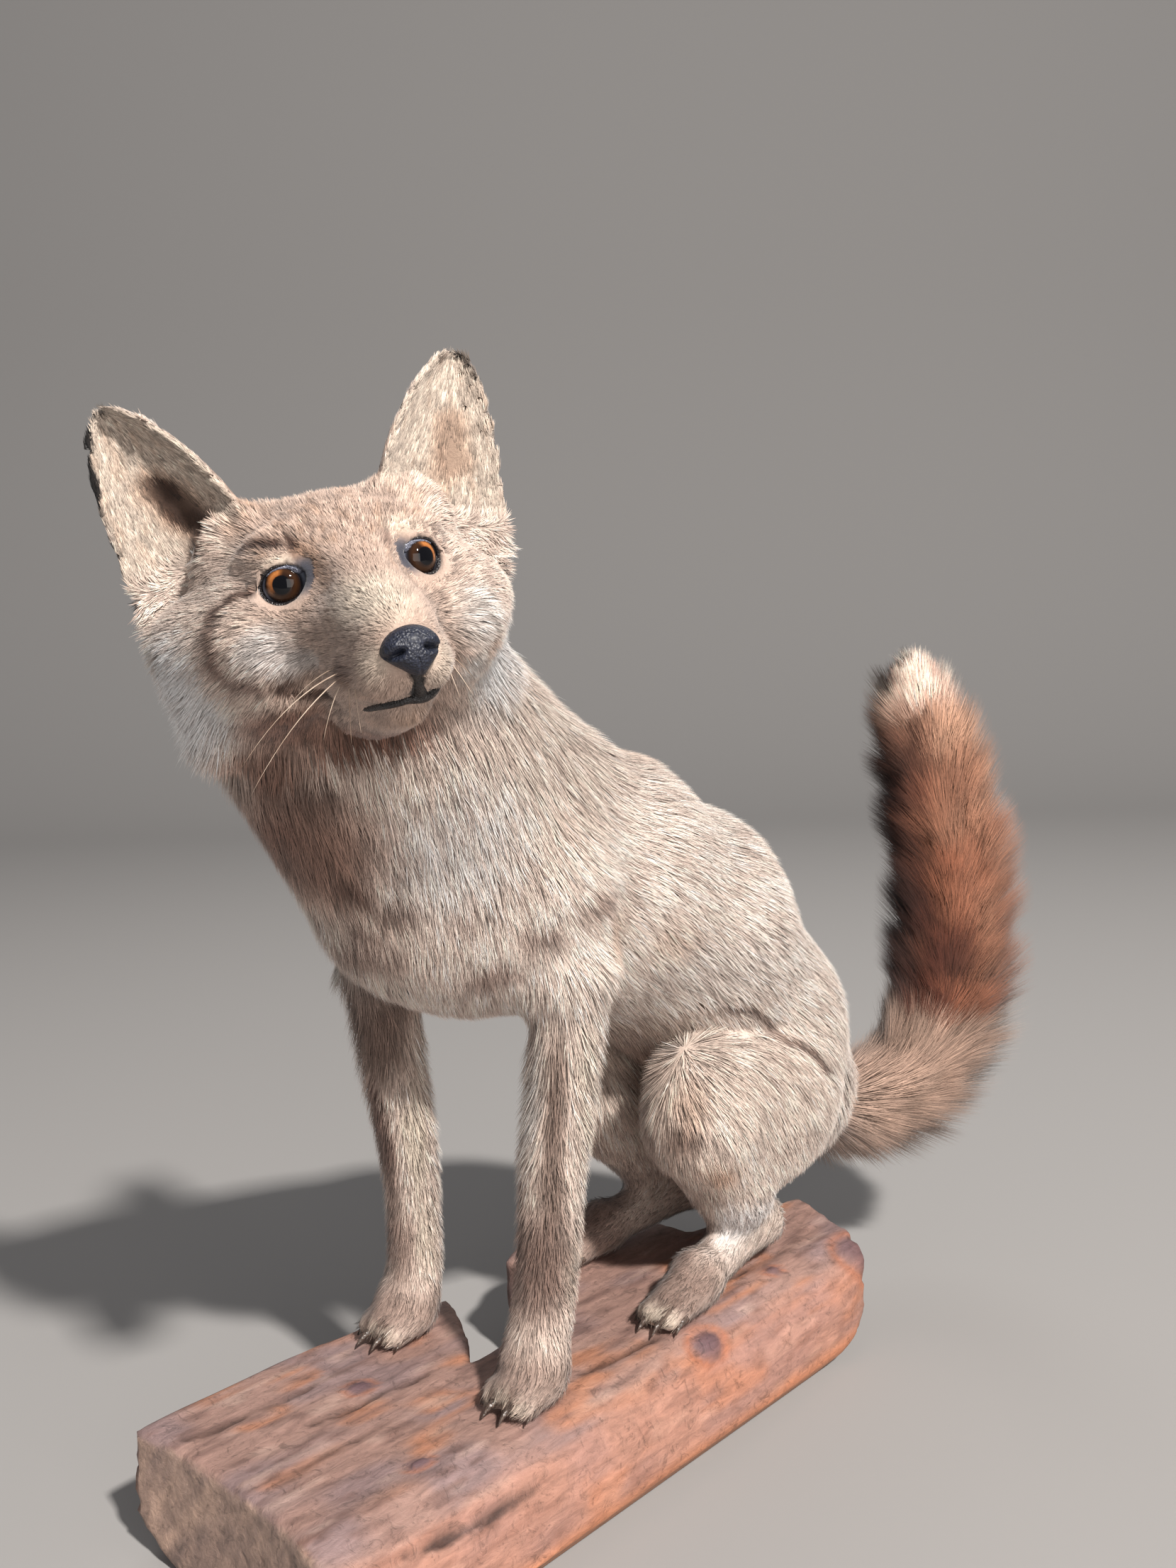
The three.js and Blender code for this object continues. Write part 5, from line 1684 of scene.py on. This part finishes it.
points, faces = together(claw(*toe) for toe in CLAW_TOES)
claws = add_mesh("claws", in_frame(points), faces)
shaded_smooth(claws)
claws.data.materials.append(wet_skin("claw_horn", (0.06, 0.042, 0.034), 0.35, 700.0))
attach(claws, "root")

# ---- The log ---------------------------------------------------------------------
# Half of a split trunk, stripped, oiled and faded: a crowned top with dark knots, fine
# cracks along the grain and rubbed orange patches, a brighter orange strip low along the
# side that faces +X, and sawn ends of coarse grey end grain. That side is also painted
# lighter and more orange, as painted light. It carries the mount.
LOG_HEIGHT = 65.0
LOG_FRONT, LOG_LENGTH = -233.0, 472.0


def bend_between(start, control, end, steps=9):
    """A quadratic curve from start to end, drawn towards a control point."""
    t = np.linspace(0, 1, steps)[1:, None]
    start, control, end = (np.asarray(v, float) for v in (start, control, end))
    return (1 - t) ** 2 * start + 2 * t * (1 - t) * control + t ** 2 * end


def outline(start, *moves):
    """A closed outline: each move is an end point, with a control point if it curves."""
    points = [np.array([start], float)]
    for move in moves:
        here = points[-1][-1]
        points.append(bend_between(here, *move) if len(move) == 2 else np.array(move, float))
    return np.concatenate(points)


PLAN = outline((50, LOG_FRONT), ((60, -60), (50, 120)), ((48, 190), (36, 202)),
               ((-35, LOG_FRONT + LOG_LENGTH),), ((-60, 148),), ((-142, 152), (-150, 92)), ((-122, 42),),
               ((-62, 28),), ((-48, -20), (-45, -64)), ((-72, -36), (-111, -17)),
               ((-134, -90), (-128, LOG_FRONT + 16)), ((-40, LOG_FRONT + 22), (50, LOG_FRONT)))
SECTION = outline((-95, 0), ((38, 0),), ((51, 14),), ((50, 56), (20, LOG_HEIGHT)), ((-128, LOG_HEIGHT),),
                  ((-150, 64), (-153, 50)), ((-130, 12), (-95, 0)))


def flat_distance(p, corners):
    """Distance to a closed outline in its plane, below zero inside it."""
    best = np.full(len(p), 1e9)
    crossings = np.zeros(len(p), int)
    for a, b in zip(corners, np.roll(corners, -1, axis=0)):
        run = b - a
        if run @ run < 1e-9:
            continue
        t = np.clip(((p - a) @ run) / (run @ run), 0, 1)
        best = np.minimum(best, np.linalg.norm(p - a - t[:, None] * run, axis=1))
        straddles = (a[1] > p[:, 1]) != (b[1] > p[:, 1])
        with np.errstate(divide="ignore", invalid="ignore"):
            at = a[0] + (p[:, 1] - a[1]) * run[0] / run[1]
        crossings += straddles & (p[:, 0] < at)
    return np.where(crossings % 2 == 1, -best, best)


KNOTS = [(34, 40, 56, 11, 7), (30, 196, 50, 15, 10), (-70, -120, 65, 7, 5), (8, -150, 64, 6, 4),
         (18, 128, 62, 6, 4), (-110, 96, 64, 9, 6)]  # x, y, z, and half length and width
CRACKS = [((-96, -208), (-88, -110)), ((-30, -205), (-34, -120)), ((12, -40), (20, 60)),
          ((2, 90), (10, 160)), ((-60, -160), (-52, -84)), ((40, -190), (44, -110)),
          ((-100, 60), (-84, 120)), ((-20, 120), (-28, 190))]  # from one end to the other, in plan
CRACK_WIDTH, CRACK_DEPTH = 1.3, 2.6
SAWN_SLANT = np.array([[0.8, 0, 0.6], [0, 1, 0], [-0.6, 0, 0.8]])  # the end grain's turn about y


def crack_distance(p, start, end):
    """Distance in plan to a wandering crack, and the way along it, from 0 to 1."""
    run = np.subtract(end, start).astype(float)
    t = np.clip(((p[:, :2] - start) @ run) / (run @ run), 0, 1)
    away = np.linalg.norm(p[:, :2] - start - t[:, None] * run, axis=1)
    return away + 3 * (lattice_noise(p, 14, 33) - 0.5), t


def knot_reach(p, knot):
    """1 on the rim of a knot, an ellipsoid, 0 in its middle and more outside."""
    x, y, z, reach, width = knot
    return np.linalg.norm((p - (x, y, z)) / (width, reach, width * 1.4), axis=1)


def end_grain(p, stretch, size, seed):
    """Noise in slanting streaks, as on a sawn end."""
    return lattice_noise(p @ SAWN_SLANT / (1, 1, stretch), size, seed)


def log_field(p):
    """The plan and the section, cut out of each other, with grain, cracks and knots."""
    side = flat_distance(p[:, :2], PLAN)
    round_it = flat_distance(p[:, ::2], SECTION)
    d = -join(-side, -round_it, 5)
    climb = (0.4 * (p[:, 1] - 150) - p[:, 2]) / np.hypot(1, 0.4)
    d = -join(-d, -climb, 3)
    d = np.maximum(d, -p[:, 2])
    top = ramp(p[:, 2], 6, 20)
    grain = lattice_noise(p / (1, 9, 1), 4.5, 31) - 0.5
    swell = lattice_noise(p / (1, 3, 1), 26, 32) - 0.5
    d = d + top * (1.3 * grain + 2.4 * np.abs(swell))
    for start, end in CRACKS:
        away, t = crack_distance(p, start, end)
        width = CRACK_WIDTH * np.sqrt(np.clip(4 * t * (1 - t), 0.02, 1))
        d = d + CRACK_DEPTH * np.exp(-(away / width) ** 2) * ramp(p[:, 2], 38, 56)
    for knot in KNOTS:
        k = knot_reach(p, knot)
        d = d - 1.6 * np.exp(-k ** 4) + 1.4 * np.exp(-((k - 1.05) / 0.16) ** 2)
    sawn = 0.9 * (end_grain(p, 6, 3.4, 34) - 0.5)
    return d + sawn * ramp(-(p[:, 1] - LOG_FRONT - 22), -6, 2)


LOG_CELL = 3.4
log_points, log_faces = net_over(log_field, (-160, -242, -6), (62, 248, 76), LOG_CELL)
log_points[:, 2] = np.maximum(log_points[:, 2], 0)
log_normals = normals_of(log_points, log_faces)


WEATHERED, WEATHERED_GREY, RUBBED = (0.575, 0.455, 0.415), (0.50, 0.42, 0.42), (0.66, 0.43, 0.31)
DARK_GRAIN, PALE_GRAIN = (0.40, 0.30, 0.275), (0.74, 0.63, 0.58)
LOW_ORANGE_STRIP, SUNNY_SIDE, UNDERSIDE = (0.78, 0.48, 0.30), (0.68, 0.46, 0.37), (0.58, 0.43, 0.33)
SAWN_DARK, SAWN_PALE = (0.50, 0.42, 0.39), (0.72, 0.60, 0.53)
KNOT_DARK, KNOT_RING, CRACK_DARK = (0.36, 0.27, 0.29), (0.62, 0.36, 0.25), (0.2, 0.13, 0.11)


def log_colours(p, normal):
    """Brown-pink and grey weathering with orange rubbed through, darker in the hollows, and painted light
    on the side that faces +X.
    """
    long_grain = lattice_noise(p / (1, 3.5, 1), 6, 41)
    fine_grain = lattice_noise(p / (1, 4, 1), 3.6, 42)
    blotch = lattice_noise(p / (1, 1.6, 1), 22, 43)
    rubbed = ramp(lattice_noise(p / (1, 2.0, 1), 17, 44), 0.56, 0.76) * ramp(long_grain, 0.2, 0.6)
    strip = ramp(normal[:, 0], 0.35, 0.8) * ramp(-p[:, 2], -22, -12) * ramp(p[:, 2], 0.5, 3)
    colour = np.tile(WEATHERED, (len(p), 1))
    colour = blended(colour, WEATHERED_GREY, ramp(blotch, 0.4, 0.75) * 0.8)
    colour = blended(colour, RUBBED, rubbed * 0.7)
    colour = blended(colour, DARK_GRAIN, ramp(fine_grain, 0.6, 0.85) * 0.6)
    colour = blended(colour, PALE_GRAIN, ramp(long_grain, 0.66, 0.9) * 0.5)
    colour = blended(colour, LOW_ORANGE_STRIP, strip * 0.85)
    colour = blended(colour, SUNNY_SIDE, ramp(normal[:, 0], 0.5, 0.85) * 0.5)
    end = ramp(-normal[:, 1], 0.75, 0.93) * ramp(-p[:, 1], 190, 200)
    sawn = blended(np.tile(SAWN_DARK, (len(p), 1)), SAWN_PALE, end_grain(p, 7, 3.0, 45))
    colour = blended(colour, sawn, end)
    for knot in KNOTS:
        k = knot_reach(p, knot)
        colour = blended(colour, KNOT_DARK, np.exp(-(k / 1.05) ** 6) * 0.9)
        colour = blended(colour, KNOT_RING, np.exp(-((k - 1.35) / 0.25) ** 2) * 0.5)
    for start, stop in CRACKS:
        away, _ = crack_distance(p, start, stop)
        colour = blended(colour, CRACK_DARK, 0.8 * np.exp(-(away / CRACK_WIDTH) ** 2) * (p[:, 2] > 40))
    return np.clip(blended(colour, UNDERSIDE, ramp(-normal[:, 2], 0.3, 0.8) * 0.6), 0, 1)


log = add_mesh("log", log_points / 1000, log_faces)
shaded_smooth(log)
paint(log, "wood", linear(log_colours(log_points, log_normals)))
wood = plain_material("weathered_wood", (0.4, 0.25, 0.2), 0.62)
shader = wood.node_tree.nodes["Principled BSDF"]
place = node(wood, "ShaderNodeTexCoord")
stretch = node(wood, "ShaderNodeMapping")
stretch.inputs["Scale"].default_value = (1.0, 0.22, 1.0)
link(wood, place.outputs["Object"], stretch.inputs["Vector"])
fibres = node(wood, "ShaderNodeTexNoise", Scale=260.0, Detail=7.0, Roughness=0.72, Distortion=0.6)
link(wood, stretch.outputs["Vector"], fibres.inputs["Vector"])
specks = node(wood, "ShaderNodeTexNoise", Scale=120.0, Detail=6.0, Roughness=0.8, Distortion=1.2)
link(wood, place.outputs["Object"], specks.inputs["Vector"])
tint = scaled_by_noise(wood, stored_colour(wood, "wood"), fibres, 0.3, 0.7, 0.68, 1.28)
tint = scaled_by_noise(wood, tint, specks, 0.36, 0.46, 0.62, 1.04)
link(wood, tint, shader.inputs["Base Color"])
relief = in_relief(wood, fibres.outputs["Fac"], 0.6, 0.001)
dents = in_relief(wood, specks.outputs["Fac"], 0.5, 0.0015)
link(wood, relief.outputs["Normal"], dents.inputs["Normal"])
log.data.materials.append(wood)
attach(log, "root")
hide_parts("log_base")
